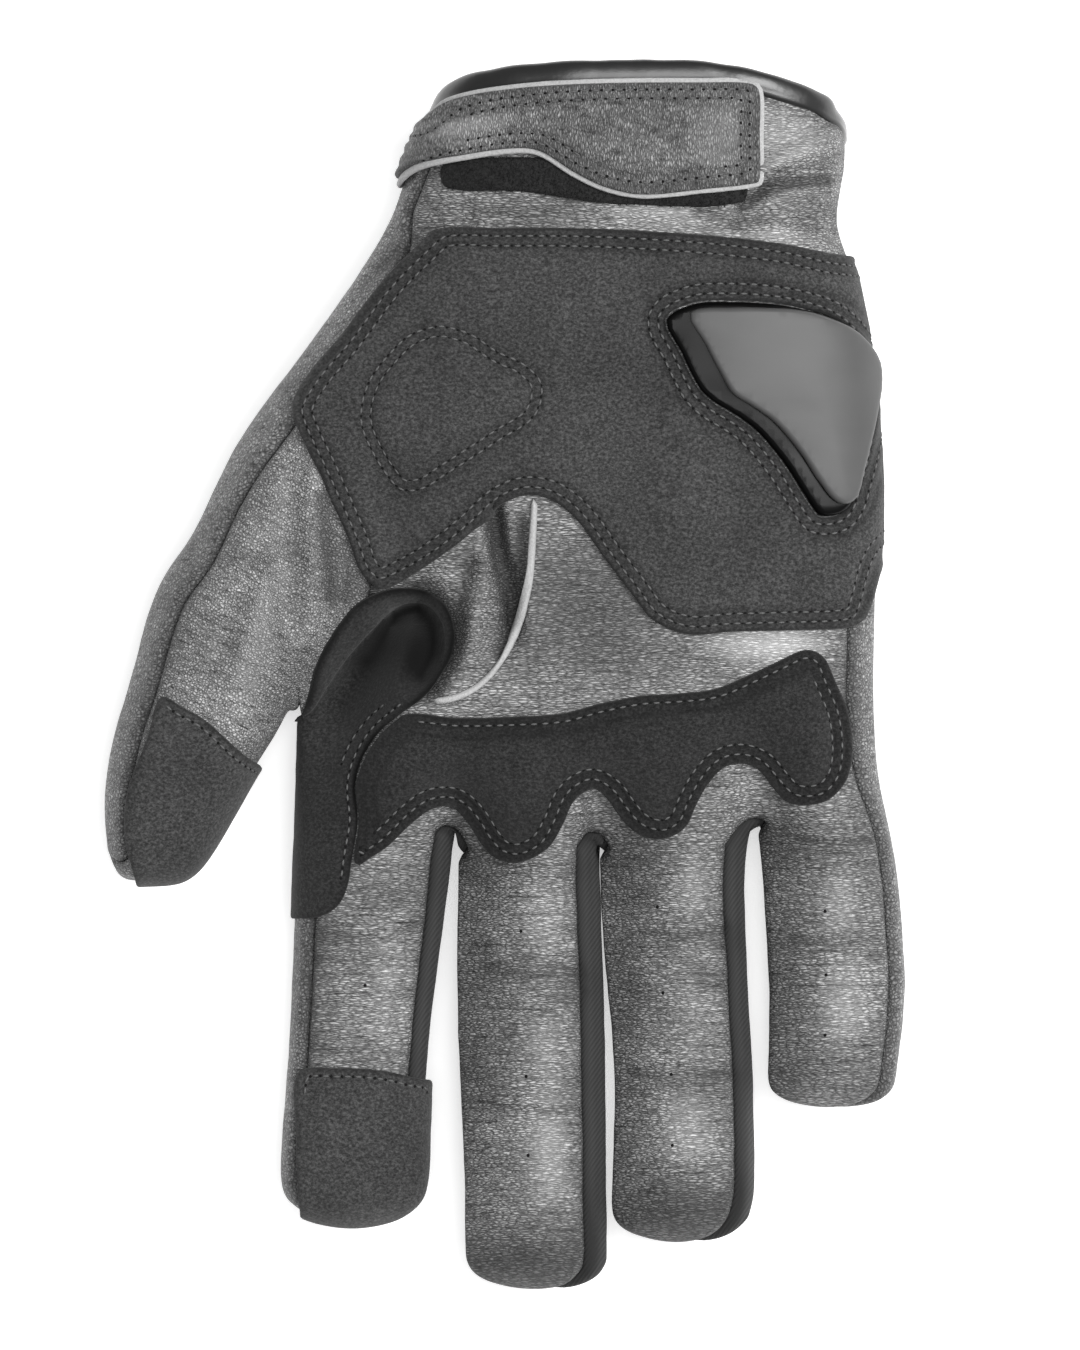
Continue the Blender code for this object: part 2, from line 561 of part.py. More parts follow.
def layer(name, skin, panels, low, high, inset=0.0):
    """A closed wall between two offsets from the skin, over the faces of the given panels."""
    faces = [face for face, panel in zip(skin.faces, skin.panels) if panel in panels]
    used = sorted({corner for face in faces for corner in face})
    number = {old: new for new, old in enumerate(used)}
    moves = seam_inset(skin, faces, inset) if inset else {}
    points = np.array([skin.points[i] + moves.get(i, 0.0) for i in used])
    normals = skin.normals[used]
    high = high(points) if callable(high) else np.full(len(points), high)
    outer = points + normals * high[:, None]
    inner = points + normals * low
    count = len(used)
    solid = [[number[i] for i in face] for face in faces]
    solid += [[number[i] + count for i in reversed(face)] for face in faces]
    for a, b in border_edges(faces):
        a, b = number[a], number[b]
        solid.append([b, a, a + count, b + count])
    return mesh_from(name, np.vstack((outer, inner)), solid)


def triangulated(mesh):
    """Splits the mesh's faces into triangles, each along its shorter diagonal."""
    shape = bmesh.new()
    shape.from_mesh(mesh)
    bmesh.ops.triangulate(shape, faces=shape.faces, quad_method="SHORT_EDGE")
    shape.to_mesh(mesh)
    shape.free()
    return mesh


def add_object(name, mesh, material, collection):
    """An object with its own material, in its collection."""
    thing = bpy.data.objects.new(name, mesh)
    collection.objects.link(thing)
    mesh.materials.clear()
    if material:
        mesh.materials.append(principled(name, *MATERIALS[material]))
    return thing


def principled(name, colour, roughness):
    """A Principled material in one colour."""
    material = bpy.data.materials.new(name)
    material.use_nodes = True
    shader = material.node_tree.nodes["Principled BSDF"]
    shader.inputs["Base Color"].default_value = (*colour, 1.0)
    shader.inputs["Roughness"].default_value = roughness
    material.diffuse_color = (*colour, 1.0)
    return material


def outline_block(name, outline, low, high, cutters, grow=0.0):
    """A cutter with an outline seen from above, between two heights."""
    curve = bpy.data.curves.new(name, "CURVE")
    curve.dimensions = "2D"
    curve.fill_mode = "BOTH"
    curve.resolution_u = OUTLINE_STEPS
    curve.extrude = (high - low) / 2
    # a curve's offset goes outwards on a clockwise outline
    area = sum(x0 * y1 - x1 * y0 for (x0, y0), (x1, y1) in zip(outline, outline[1:] + outline[:1]))
    curve.offset = -math.copysign(grow, area)
    spline = curve.splines.new("BEZIER")
    spline.bezier_points.add(len(outline) - 1)
    spline.use_cyclic_u = True
    for knot, (x, y) in zip(spline.bezier_points, outline):
        knot.co = (across(x), y * PALM_LENGTH, 0.0)
        knot.handle_left_type = knot.handle_right_type = "AUTO"
    guide = bpy.data.objects.new(name, curve)
    cutters.objects.link(guide)
    mesh = bpy.data.meshes.new_from_object(guide.evaluated_get(bpy.context.evaluated_depsgraph_get()))
    bpy.data.objects.remove(guide)
    bpy.data.curves.remove(curve)
    shape = bmesh.new()
    shape.from_mesh(mesh)
    bmesh.ops.remove_doubles(shape, verts=shape.verts, dist=WELD_DISTANCE)
    bmesh.ops.translate(shape, verts=shape.verts, vec=(0.0, 0.0, (high + low) / 2))
    bmesh.ops.recalc_face_normals(shape, faces=shape.faces)
    shape.to_mesh(mesh)
    shape.free()
    cutter = bpy.data.objects.new(name, mesh)
    cutters.objects.link(cutter)
    cutter.hide_render = True
    cutter.display_type = "WIRE"
    return cutter


def apply_cuts(thing, cuts):
    """Applies Booleans, given as an operation and a cutter each, and keeps the largest body."""
    for operation, cutter in cuts:
        cut = thing.modifiers.new(cutter.name, "BOOLEAN")
        cut.operation = operation
        cut.object = cutter
        cut.use_self = True
    mesh = bpy.data.meshes.new_from_object(thing.evaluated_get(bpy.context.evaluated_depsgraph_get()))
    thing.modifiers.clear()
    old = thing.data
    thing.data = mesh
    bpy.data.meshes.remove(old)
    shape = bmesh.new()
    shape.from_mesh(mesh)
    bmesh.ops.remove_doubles(shape, verts=shape.verts, dist=WELD_DISTANCE)
    bmesh.ops.dissolve_degenerate(shape, edges=shape.edges, dist=WELD_DISTANCE)
    bodies = separate_bodies(shape)
    largest = max(bodies, key=len)
    loose = [vert for body in bodies if body is not largest for vert in body]
    bmesh.ops.delete(shape, geom=loose, context="VERTS")
    bmesh.ops.triangulate(shape, faces=shape.faces)
    shape.to_mesh(mesh)
    shape.free()


def separate_bodies(shape):
    """The vertices of each connected body of a bmesh."""
    left = set(shape.verts)
    bodies = []
    while left:
        front = [left.pop()]
        body = list(front)
        while front:
            for edge in front.pop().link_edges:
                for vert in edge.verts:
                    if vert in left:
                        left.remove(vert)
                        front.append(vert)
                        body.append(vert)
        bodies.append(body)
    return bodies


def heel_pad_rise(points):
    """Height of the overlay's upper side over the skin: its thickness and the stitched heel pad."""
    u = (points[:, 0] - across(HEEL_PAD_CENTRE[0])) / across(HEEL_PAD_RADII[0])
    v = (points[:, 1] - HEEL_PAD_CENTRE[1] * PALM_LENGTH) / (HEEL_PAD_RADII[1] * PALM_LENGTH)
    inside = np.clip(1.0 - u ** 2 - v ** 2, 0.0, 1.0)
    return CLEARANCE + SUEDE + HEEL_PAD_RISE * np.sqrt(inside)


def seam_edge_outline():
    """The outline of a narrow strip along the seam edge's route."""
    route = np.array([(across(x), y * PALM_LENGTH) for x, y in SEAM_EDGE])
    way = np.gradient(route, axis=0)
    way /= np.linalg.norm(way, axis=1)[:, None]
    side = np.column_stack((-way[:, 1], way[:, 0])) * SEAM_EDGE_WIDTH / 2
    ring = np.vstack((route + side, (route - side)[::-1]))
    return tuple((x / PALM_WIDTH, y / PALM_LENGTH) for x, y in ring)


def cuff_binding_mesh(skin):
    """The rolled band round the cuff's edge: a rounded section carried along the edge."""
    loop = skin.edge_loop()
    points = skin.points[loop]
    normals = skin.normals[loop]
    way = np.roll(points, -1, axis=0) - np.roll(points, 1, axis=0)
    way /= np.linalg.norm(way, axis=1)[:, None]
    upward = np.cross(normals, way)
    upward /= np.linalg.norm(upward, axis=1)[:, None]
    upward *= np.sign(upward[:, 1])[:, None]
    centre = points - normals * LEATHER / 2 + upward * (CLEARANCE + BINDING_HEIGHT / 2)
    rings = []
    for step in range(BINDING_SIDES):
        angle = 2 * math.pi * (step + 0.5) / BINDING_SIDES
        out = math.cos(angle) * BINDING_THICKNESS / 2
        up = math.sin(angle) * BINDING_HEIGHT / 2
        ring = centre + normals * out + upward * up
        ring[:, 2] = np.maximum(ring[:, 2], 0.0)
        rings.append(ring)
    count = len(loop)
    faces = []
    for step in range(BINDING_SIDES):
        following = (step + 1) % BINDING_SIDES
        for i in range(count):
            j = (i + 1) % count
            faces.append((step * count + i, step * count + j, following * count + j, following * count + i))
    mesh = mesh_from("cuff_binding", np.vstack(rings), faces)
    shape = bmesh.new()
    shape.from_mesh(mesh)
    bmesh.ops.recalc_face_normals(shape, faces=shape.faces)
    shape.to_mesh(mesh)
    shape.free()
    return mesh


def build_panels(skin, parts):
    """The sewn panels of the shell, with a gap at each seam."""
    for name, panels, material in (
            ("palm_panel", (PALM,), "leather"),
            ("thumb_panel", (THUMB,), "leather"),
            ("back_panel", (SIDE, BACK), "back_leather"),
            ("gusset_index_middle", (GUSSET_1,), "textile"),
            ("gusset_middle_ring", (GUSSET_2,), "textile"),
            ("gusset_ring_little", (GUSSET_3,), "textile")):
        mesh = layer(name, skin, panels, -LEATHER, 0.0, CLEARANCE / 2)
        add_object(name, triangulated(mesh), material, parts)


def build_overlays(skin, parts, cutters):
    """What lies on the palm side: overlays, tip patches, slider, seam edge, hook patch and strap."""
    top = 2 * (PALM_DEPTH + CUFF_DEPTH)

    def block(name, outline, low, grow=0.0):
        return outline_block(name, outline, low * PALM_DEPTH, top, cutters, grow)

    def piece(name, material, low, high, cuts):
        mesh = triangulated(layer(name, skin, PALM_SIDE, low, high))
        apply_cuts(add_object(name, mesh, material, parts), cuts)

    overlay_cut = block("cut_palm_overlay", PALM_OVERLAY, PALM_OVERLAY_LOW)
    overlay_gap = block("gap_palm_overlay", PALM_OVERLAY, 0.0, CLEARANCE)
    slider_gap = block("gap_slider", SLIDER_BASE, 0.0, CLEARANCE)
    crotch_gap = block("gap_crotch_overlay", CROTCH_OVERLAY, 0.0, CLEARANCE)
    knuckle_gap = block("gap_knuckle_overlay", KNUCKLE_OVERLAY, 0.0, CLEARANCE)
    suede = CLEARANCE + SUEDE
    piece("palm_overlay", "suede", CLEARANCE, heel_pad_rise,
          (("INTERSECT", overlay_cut), ("DIFFERENCE", slider_gap)))
    slider_top = CLEARANCE + SLIDER_BASE_HEIGHT
    piece("slider_base", "gloss_plastic", CLEARANCE, slider_top,
          (("INTERSECT", block("cut_slider_base", SLIDER_BASE, PALM_OVERLAY_LOW)),))
    piece("slider_plate", "slider_plastic", slider_top + CLEARANCE,
          slider_top + CLEARANCE + SLIDER_PLATE_HEIGHT,
          (("INTERSECT", block("cut_slider_plate", SLIDER_PLATE, PALM_OVERLAY_LOW)),))
    piece("crotch_overlay", "dark_suede", CLEARANCE, suede,
          (("INTERSECT", block("cut_crotch_overlay", CROTCH_OVERLAY, CROTCH_OVERLAY_LOW)),
           ("DIFFERENCE", overlay_gap)))
    piece("knuckle_overlay", "dark_suede", CLEARANCE, CLEARANCE + PADDED_SUEDE,
          (("INTERSECT", block("cut_knuckle_overlay", KNUCKLE_OVERLAY, KNUCKLE_OVERLAY_LOW)),
           ("DIFFERENCE", crotch_gap)))
    piece("index_tip_patch", "suede", CLEARANCE, suede,
          (("INTERSECT", block("cut_index_tip", INDEX_TIP_PATCH, TIP_PATCH_LOW)),))
    piece("thumb_tip_patch", "suede", CLEARANCE, suede,
          (("INTERSECT", block("cut_thumb_tip", THUMB_TIP_PATCH, TIP_PATCH_LOW)),))
    piece("seam_edge", "raw_edge", CLEARANCE, CLEARANCE + SEAM_EDGE_HEIGHT,
          (("INTERSECT", block("cut_seam_edge", seam_edge_outline(), PALM_OVERLAY_LOW)),
           ("DIFFERENCE", overlay_gap), ("DIFFERENCE", knuckle_gap), ("DIFFERENCE", crotch_gap)))
    piece("hook_patch", "hook_fabric", CLEARANCE, CLEARANCE + HOOK_PATCH_THICKNESS,
          (("INTERSECT", block("cut_hook_patch", HOOK_PATCH, PALM_OVERLAY_LOW)),))
    strap_low = 2 * CLEARANCE + HOOK_PATCH_THICKNESS
    piece("wrist_strap", "leather", strap_low, strap_low + STRAP_THICKNESS,
          (("INTERSECT", block("cut_wrist_strap", WRIST_STRAP, STRAP_LOW)),))


def place_glove(parts):
    """Hangs every piece on one empty, and sets the middle of the glove's underside at the origin."""
    corners = np.array([tuple(v.co) for thing in parts.objects for v in thing.data.vertices])
    low, high = corners.min(axis=0), corners.max(axis=0)
    glove = bpy.data.objects.new("glove", None)
    glove.location = (-(low[0] + high[0]) / 2, -(low[1] + high[1]) / 2, -low[2])
    for thing in parts.objects:
        thing.parent = glove
    bpy.context.scene.collection.objects.link(glove)


def main():
    for thing in list(bpy.data.objects):
        bpy.data.objects.remove(thing)
    parts = bpy.data.collections.new("motorcycle_glove")
    cutters = bpy.data.collections.new("cutters")
    bpy.context.scene.collection.children.link(parts)
    bpy.context.scene.collection.children.link(cutters)
    cage = glove_cage()
    used_only(cage)
    skin = Skin(cage)
    build_panels(skin, parts)
    build_overlays(skin, parts, cutters)
    add_object("cuff_binding", triangulated(cuff_binding_mesh(skin)), "binding", parts)
    place_glove(parts)


if __name__ == "__main__":
    main()
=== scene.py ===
"""Dresses the motorcycle glove: leather panels with seams and folds, suede overlays, stitching, palm
slider, closing strap and bound cuff, on a pale floor under soft light.

Metres, in the frame's own axes: +Z up out of the palm, +Y to the cuff, -X to the thumb.
"""
import math

import bmesh
import bpy
import numpy as np
from collections import namedtuple
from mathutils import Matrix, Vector, noise
from mathutils.bvhtree import BVHTree
from mathutils.kdtree import KDTree


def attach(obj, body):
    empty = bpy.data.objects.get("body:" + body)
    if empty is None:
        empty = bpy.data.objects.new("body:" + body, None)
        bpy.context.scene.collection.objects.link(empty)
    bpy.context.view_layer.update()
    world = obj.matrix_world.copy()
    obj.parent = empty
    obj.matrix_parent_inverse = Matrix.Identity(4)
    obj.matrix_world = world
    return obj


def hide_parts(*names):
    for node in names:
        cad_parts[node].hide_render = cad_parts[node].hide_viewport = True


bl_info = {
    "name": "Motorcycle Glove",
    "version": (1, 0, 0),
    "blender": (4, 5, 0),
    "location": "3D View > Sidebar > Glove",
    "description": "Builds the finished surface of a leather motorcycle glove",
    "category": "Add Mesh",
}

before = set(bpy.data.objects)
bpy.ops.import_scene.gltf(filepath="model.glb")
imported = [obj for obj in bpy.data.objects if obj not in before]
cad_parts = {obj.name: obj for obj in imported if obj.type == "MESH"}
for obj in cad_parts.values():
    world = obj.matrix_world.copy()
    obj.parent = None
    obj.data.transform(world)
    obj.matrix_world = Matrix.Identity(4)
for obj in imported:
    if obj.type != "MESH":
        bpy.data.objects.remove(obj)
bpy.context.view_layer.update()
bpy.ops.object.select_all(action="DESELECT")

MM = 0.001

INDEX_LENGTH = 0.0762
MIDDLE_LENGTH = 0.0895
RING_LENGTH = 0.0803
LITTLE_LENGTH = 0.0541
INDEX_WIDTH = 0.0295
MIDDLE_WIDTH = 0.0268
RING_WIDTH = 0.0272
LITTLE_WIDTH = 0.0257
INDEX_MIDDLE_GAP = 0.0031
MIDDLE_RING_GAP = 0.0012
RING_LITTLE_GAP = 0.0043
FINGER_DEPTH = 0.0225
PALM_LENGTH = 0.1505
PALM_DEPTH = 0.0350
CUFF_WIDTH = 0.0803
CUFF_DEPTH = 0.0400
CUFF_ARCH = 0.0090
THUMB_REACH = 0.0282
THUMB_WIDTH = 0.0300
THUMB_DEPTH = 0.0270
LEATHER = 0.0018
SUEDE = 0.0012
PADDED_SUEDE = 0.0020
HEEL_PAD_RISE = 0.0014
SEAM_EDGE_WIDTH = 0.0013
SEAM_EDGE_HEIGHT = 0.0009
SLIDER_BASE_HEIGHT = 0.0026
SLIDER_PLATE_HEIGHT = 0.0016
HOOK_PATCH_THICKNESS = 0.0012
STRAP_THICKNESS = 0.0016
BINDING_HEIGHT = 0.0036
BINDING_THICKNESS = 0.0034
CLEARANCE = 0.0003
REST_FLATTENING = 0.0012
PALM_WIDTH = (INDEX_WIDTH + INDEX_MIDDLE_GAP + MIDDLE_WIDTH + MIDDLE_RING_GAP
              + RING_WIDTH + RING_LITTLE_GAP + LITTLE_WIDTH)
LEATHER_TOP = PALM_LENGTH - BINDING_HEIGHT - CLEARANCE
THUMB_CROTCH = 0.119 * PALM_LENGTH
# from the middle of the palm at the finger roots to the middle of the glove's underside
FRAME_SHIFT = np.array((0.01789, -0.03059, 0.0))

# The cage of the outer surface: shares of the sizes above, section by section
FingerSection = namedtuple("FingerSection", "along shift width depth lift")
INDEX_SECTIONS = (
    (0.01, 0.040, 1.03, 1.22, 0.00), (0.24, -0.010, 0.98, 1.03, 0.00), (0.54, -0.075, 0.92, 1.00, 0.00),
    (0.82, -0.120, 0.93, 0.92, 0.10), (0.95, -0.130, 0.79, 0.66, 0.28), (1.00, -0.130, 0.00, 0.00, 0.60))
MIDDLE_SECTIONS = (
    (0.04, 0.000, 1.00, 1.20, 0.00), (0.28, 0.010, 1.01, 1.03, 0.00), (0.57, 0.035, 1.01, 1.00, 0.00),
    (0.84, 0.054, 0.98, 0.92, 0.12), (0.96, 0.062, 0.88, 0.66, 0.30), (1.00, 0.065, 0.00, 0.00, 0.62))
RING_SECTIONS = (
    (0.04, -0.007, 1.03, 1.18, 0.00), (0.28, 0.015, 0.98, 1.01, 0.00), (0.57, 0.070, 0.95, 0.98, 0.00),
    (0.84, 0.075, 0.98, 0.90, 0.11), (0.96, 0.050, 0.82, 0.64, 0.28), (1.00, 0.040, 0.00, 0.00, 0.60))
LITTLE_SECTIONS = (
    (-0.02, -0.080, 0.98, 1.12, 0.00), (0.24, 0.000, 1.00, 0.97, 0.00), (0.58, 0.040, 1.00, 0.92, 0.00),
    (0.84, 0.010, 0.95, 0.84, 0.09), (0.95, 0.000, 0.80, 0.60, 0.24), (1.00, 0.000, 0.00, 0.00, 0.54))
INDEX_RING = ((-0.76, 1), (0.04, 1), (0.80, 1), (1, 0), (0.76, -1), (0, -1), (-0.76, -1), (-1, 0))
MIDDLE_RING = ((-0.97, 1), (-0.08, 1), (0.72, 1), (1, 0), (0.76, -1), (0, -1), (-0.76, -1), (-1, 0))
RING_RING = ((-0.97, 1), (-0.08, 1), (0.75, 1), (1, 0), (0.76, -1), (0, -1), (-0.76, -1), (-1, 0))
LITTLE_RING = ((-0.93, 1), (-0.04, 1), (0.80, 1), (1, 0), (0.76, -1), (0, -1), (-0.76, -1), (-1, 0))
PalmSection = namedtuple("PalmSection", "up left right first depth drop")
CUFF_SECTIONS = (
    (0.913, -0.500, 0.500, -0.460, 1.00, 0.00),
    (0.850, -0.555, 0.500, -0.510, 1.00, 0.00))
PALM_SECTIONS = (
    (0.790, -0.339, 0.396, -0.312, 1.04, 0.00),
    (0.704, -0.408, 0.424, -0.330, 1.00, 0.00),
    (0.530, -0.585, 0.458, -0.372, 1.00, 0.00),
    (0.330, -0.600, 0.460, -0.365, 0.98, 0.10),
    (0.123, -0.489, 0.459, -0.440, 0.92, 0.12))
PALM_STEPS = (0.0, 0.100, 0.220, 0.345, 0.480, 0.610, 0.745, 0.865, 0.955)
CUFF_ROW_COUNT = len(CUFF_SECTIONS)
CUFF_SHIFT = 0.065
CUFF_BACK_RISE = -0.2
THUMB_FIRST_ROW = CUFF_ROW_COUNT + 1
THUMB_LAST_ROW = CUFF_ROW_COUNT + len(PALM_SECTIONS) - 1
ThumbSection = namedtuple("ThumbSection", "inner_across inner_up outer_across outer_up depth lift")
THUMB_BASE_SECTIONS = (
    (-0.490, 0.041, -0.505, 0.478, 1.20, 0.00),
    (-0.495, 0.038, -0.601, 0.372, 1.14, 0.00),
    (-0.503, 0.035, -0.670, 0.261, 1.08, 0.00))
THUMB_SECTIONS = (
    (-0.513, 0.031, -0.838, 0.818, 1.04, 0.00),
    (-0.535, 0.000, -0.935, 0.351, 1.00, 0.03),
    (-0.581, -0.310, -0.896, 0.071, 0.90, 0.09),
    (-0.650, -0.800, -0.600, -0.040, 0.62, 0.26))
THUMB_TIP = ((-0.750, -0.975), (-0.702, -0.965))
THUMB_TIP_LIFT = 0.56
THUMB_STEPS = (0.17, 0.40, 0.63, 0.85)
Dent = namedtuple("Dent", "across up to_across to_up half_width depth")
DENTS = (
    # the valley between the thumb and the index finger
    (-0.290, 0.295, -0.425, 0.170, 0.060, 0.24),
    # the pleat beside the thumb's seam edge
    (-0.165, 0.395, -0.142, 0.245, 0.026, 0.08),
    # the hollow of the palm
    (0.060, 0.640, -0.050, 0.300, 0.130, 0.05),
    # the crease from the strap to the little finger's side of the wrist, and the ridge above it
    (0.250, 0.806, 0.395, 0.778, 0.026, 0.09),
    (0.280, 0.850, 0.398, 0.892, 0.022, -0.05),
    # the wrist on the thumb's side
    (-0.330, 0.770, -0.230, 0.782, 0.028, 0.05))
DENT_FADE = 1.6
DENT_AT_SIDE = 0.3
SECTION_POWER = 2.5
BACK_POWER = 3.2
SMOOTH_ROUNDS = 6
PALM, THUMB, SIDE, BACK, GUSSET_1, GUSSET_2, GUSSET_3 = range(7)
PALM_SIDE = (PALM, THUMB, SIDE, GUSSET_1, GUSSET_2, GUSSET_3)

# Outlines on the palm side, in shares of the palm width from its middle and of the palm length
PALM_OVERLAY = (
    (-0.253, 0.775), (-0.290, 0.753), (-0.353, 0.703), (-0.416, 0.637), (-0.467, 0.590), (-0.498, 0.548),
    (-0.493, 0.522), (-0.454, 0.455), (-0.408, 0.373), (-0.389, 0.333), (-0.360, 0.315), (-0.304, 0.332),
    (-0.252, 0.357), (-0.201, 0.389), (-0.155, 0.421), (-0.114, 0.432), (-0.073, 0.425), (-0.031, 0.398),
    (0.010, 0.353), (0.056, 0.306), (0.092, 0.271), (0.149, 0.253), (0.218, 0.256), (0.310, 0.258),
    (0.403, 0.261), (0.432, 0.269), (0.446, 0.291), (0.469, 0.349), (0.530, 0.401), (0.560, 0.556),
    (0.530, 0.698), (0.452, 0.734), (0.380, 0.743), (0.310, 0.755), (0.218, 0.764), (0.125, 0.770),
    (0.033, 0.774), (-0.059, 0.776), (-0.158, 0.776))
SLIDER_BASE = (
    (0.114, 0.658), (0.158, 0.678), (0.218, 0.681), (0.287, 0.678), (0.337, 0.671), (0.383, 0.659),
    (0.416, 0.638), (0.439, 0.607), (0.447, 0.556), (0.439, 0.504), (0.422, 0.452), (0.403, 0.413),
    (0.366, 0.406), (0.348, 0.422), (0.310, 0.469), (0.264, 0.513), (0.228, 0.535), (0.190, 0.553),
    (0.167, 0.571), (0.139, 0.615))
SLIDER_PLATE = (
    (0.153, 0.668), (0.218, 0.674), (0.287, 0.673), (0.343, 0.667), (0.384, 0.654), (0.417, 0.633),
    (0.437, 0.605), (0.441, 0.568), (0.434, 0.523), (0.421, 0.465), (0.411, 0.429), (0.398, 0.421),
    (0.380, 0.426), (0.356, 0.451), (0.320, 0.495), (0.284, 0.527), (0.246, 0.549), (0.218, 0.563),
    (0.200, 0.589), (0.177, 0.625))
KNUCKLE_OVERLAY = (
    (-0.310, 0.151), (-0.228, 0.146), (-0.142, 0.147), (-0.059, 0.151), (0.005, 0.164), (0.073, 0.174),
    (0.134, 0.177), (0.195, 0.183), (0.256, 0.203), (0.302, 0.220), (0.342, 0.233), (0.370, 0.225),
    (0.389, 0.194), (0.408, 0.158), (0.416, 0.123), (0.416, 0.090), (0.406, 0.062), (0.380, 0.040),
    (0.342, 0.034), (0.314, 0.040), (0.292, 0.057), (0.266, 0.080), (0.238, 0.088), (0.208, 0.083),
    (0.182, 0.062), (0.163, 0.035), (0.145, 0.005), (0.114, -0.009), (0.081, -0.006), (0.058, 0.005),
    (0.035, 0.026), (0.017, 0.045), (-0.010, 0.056), (-0.040, 0.041), (-0.059, 0.008), (-0.083, -0.023),
    (-0.125, -0.040), (-0.162, -0.035), (-0.185, -0.017), (-0.210, 0.013), (-0.236, 0.031),
    (-0.269, 0.031), (-0.299, 0.016), (-0.345, -0.019), (-0.373, -0.034), (-0.396, -0.044),
    (-0.405, 0.000), (-0.400, 0.039), (-0.383, 0.084), (-0.356, 0.119), (-0.330, 0.140))
CROTCH_OVERLAY = (
    (-0.438, 0.252), (-0.422, 0.270), (-0.396, 0.293), (-0.361, 0.308),
    (-0.323, 0.314), (-0.282, 0.310), (-0.249, 0.292), (-0.233, 0.258), (-0.238, 0.225), (-0.261, 0.194),
    (-0.285, 0.171), (-0.323, 0.150), (-0.360, 0.125), (-0.386, 0.093), (-0.398, 0.058), (-0.394, 0.013),
    (-0.403, -0.032), (-0.411, -0.071), (-0.426, -0.096), (-0.452, -0.110), (-0.490, -0.114),
    (-0.540, -0.112), (-0.530, 0.020), (-0.512, 0.104), (-0.488, 0.146), (-0.477, 0.176), (-0.462, 0.217))
INDEX_TIP_PATCH = (
    (-0.488, -0.313), (-0.426, -0.307), (-0.356, -0.310), (-0.312, -0.318), (-0.270, -0.330),
    (-0.262, -0.420), (-0.290, -0.535), (-0.380, -0.545), (-0.470, -0.530), (-0.489, -0.480),
    (-0.492, -0.390))
THUMB_TIP_PATCH = (
    (-0.716, 0.172), (-0.683, 0.159), (-0.645, 0.142), (-0.607, 0.115), (-0.582, 0.097), (-0.540, 0.070),
    (-0.550, 0.020), (-0.600, -0.040), (-0.660, -0.090), (-0.745, -0.095), (-0.767, -0.040),
    (-0.775, 0.002), (-0.772, 0.042), (-0.759, 0.078), (-0.738, 0.120))
HOOK_PATCH = (
    (-0.250, 0.856), (-0.160, 0.866), (0.060, 0.858), (0.170, 0.842), (0.244, 0.840), (0.236, 0.814),
    (0.172, 0.806), (0.007, 0.810), (-0.125, 0.824), (-0.246, 0.829))
WRIST_STRAP = (
    (-0.400, 0.915), (-0.294, 0.910), (-0.230, 0.942), (-0.146, 0.957), (-0.020, 0.965), (0.170, 0.967),
    (0.252, 0.965), (0.267, 0.950), (0.268, 0.895), (0.268, 0.840), (0.260, 0.833), (0.170, 0.825),
    (0.075, 0.819), (0.012, 0.827), (-0.041, 0.844), (-0.094, 0.868), (-0.130, 0.871), (-0.198, 0.864),
    (-0.277, 0.850), (-0.325, 0.827), (-0.341, 0.815), (-0.400, 0.800))
SEAM_EDGE = (
    (-0.104, 0.424), (-0.105, 0.390), (-0.109, 0.338), (-0.116, 0.299), (-0.127, 0.266), (-0.145, 0.234),
    (-0.168, 0.208), (-0.198, 0.186), (-0.231, 0.173), (-0.262, 0.166))
PALM_OVERLAY_LOW = 0.42
KNUCKLE_OVERLAY_LOW = 0.40
CROTCH_OVERLAY_LOW = 0.22
TIP_PATCH_LOW = 0.36
STRAP_LOW = 0.20

# The heel pad's outer row of stitches. This table and those below are in millimetres of the frame.
HEEL_PAD = (
    (-15.0, 66.7), (-12.1, 67.1), (-6.6, 65.5), (-1.6, 62.2), (3.3, 59.9), (6.8, 56.4), (6.8, 52.3),
    (4.9, 49.0), (-0.6, 45.5), (-6.0, 42.0), (-11.5, 38.5), (-15.9, 35.8), (-20.0, 35.6),
    (-22.9, 38.5), (-25.9, 43.4), (-27.8, 48.4), (-27.4, 53.3), (-25.5, 57.8), (-21.4, 62.8),
    (-18.5, 65.3))

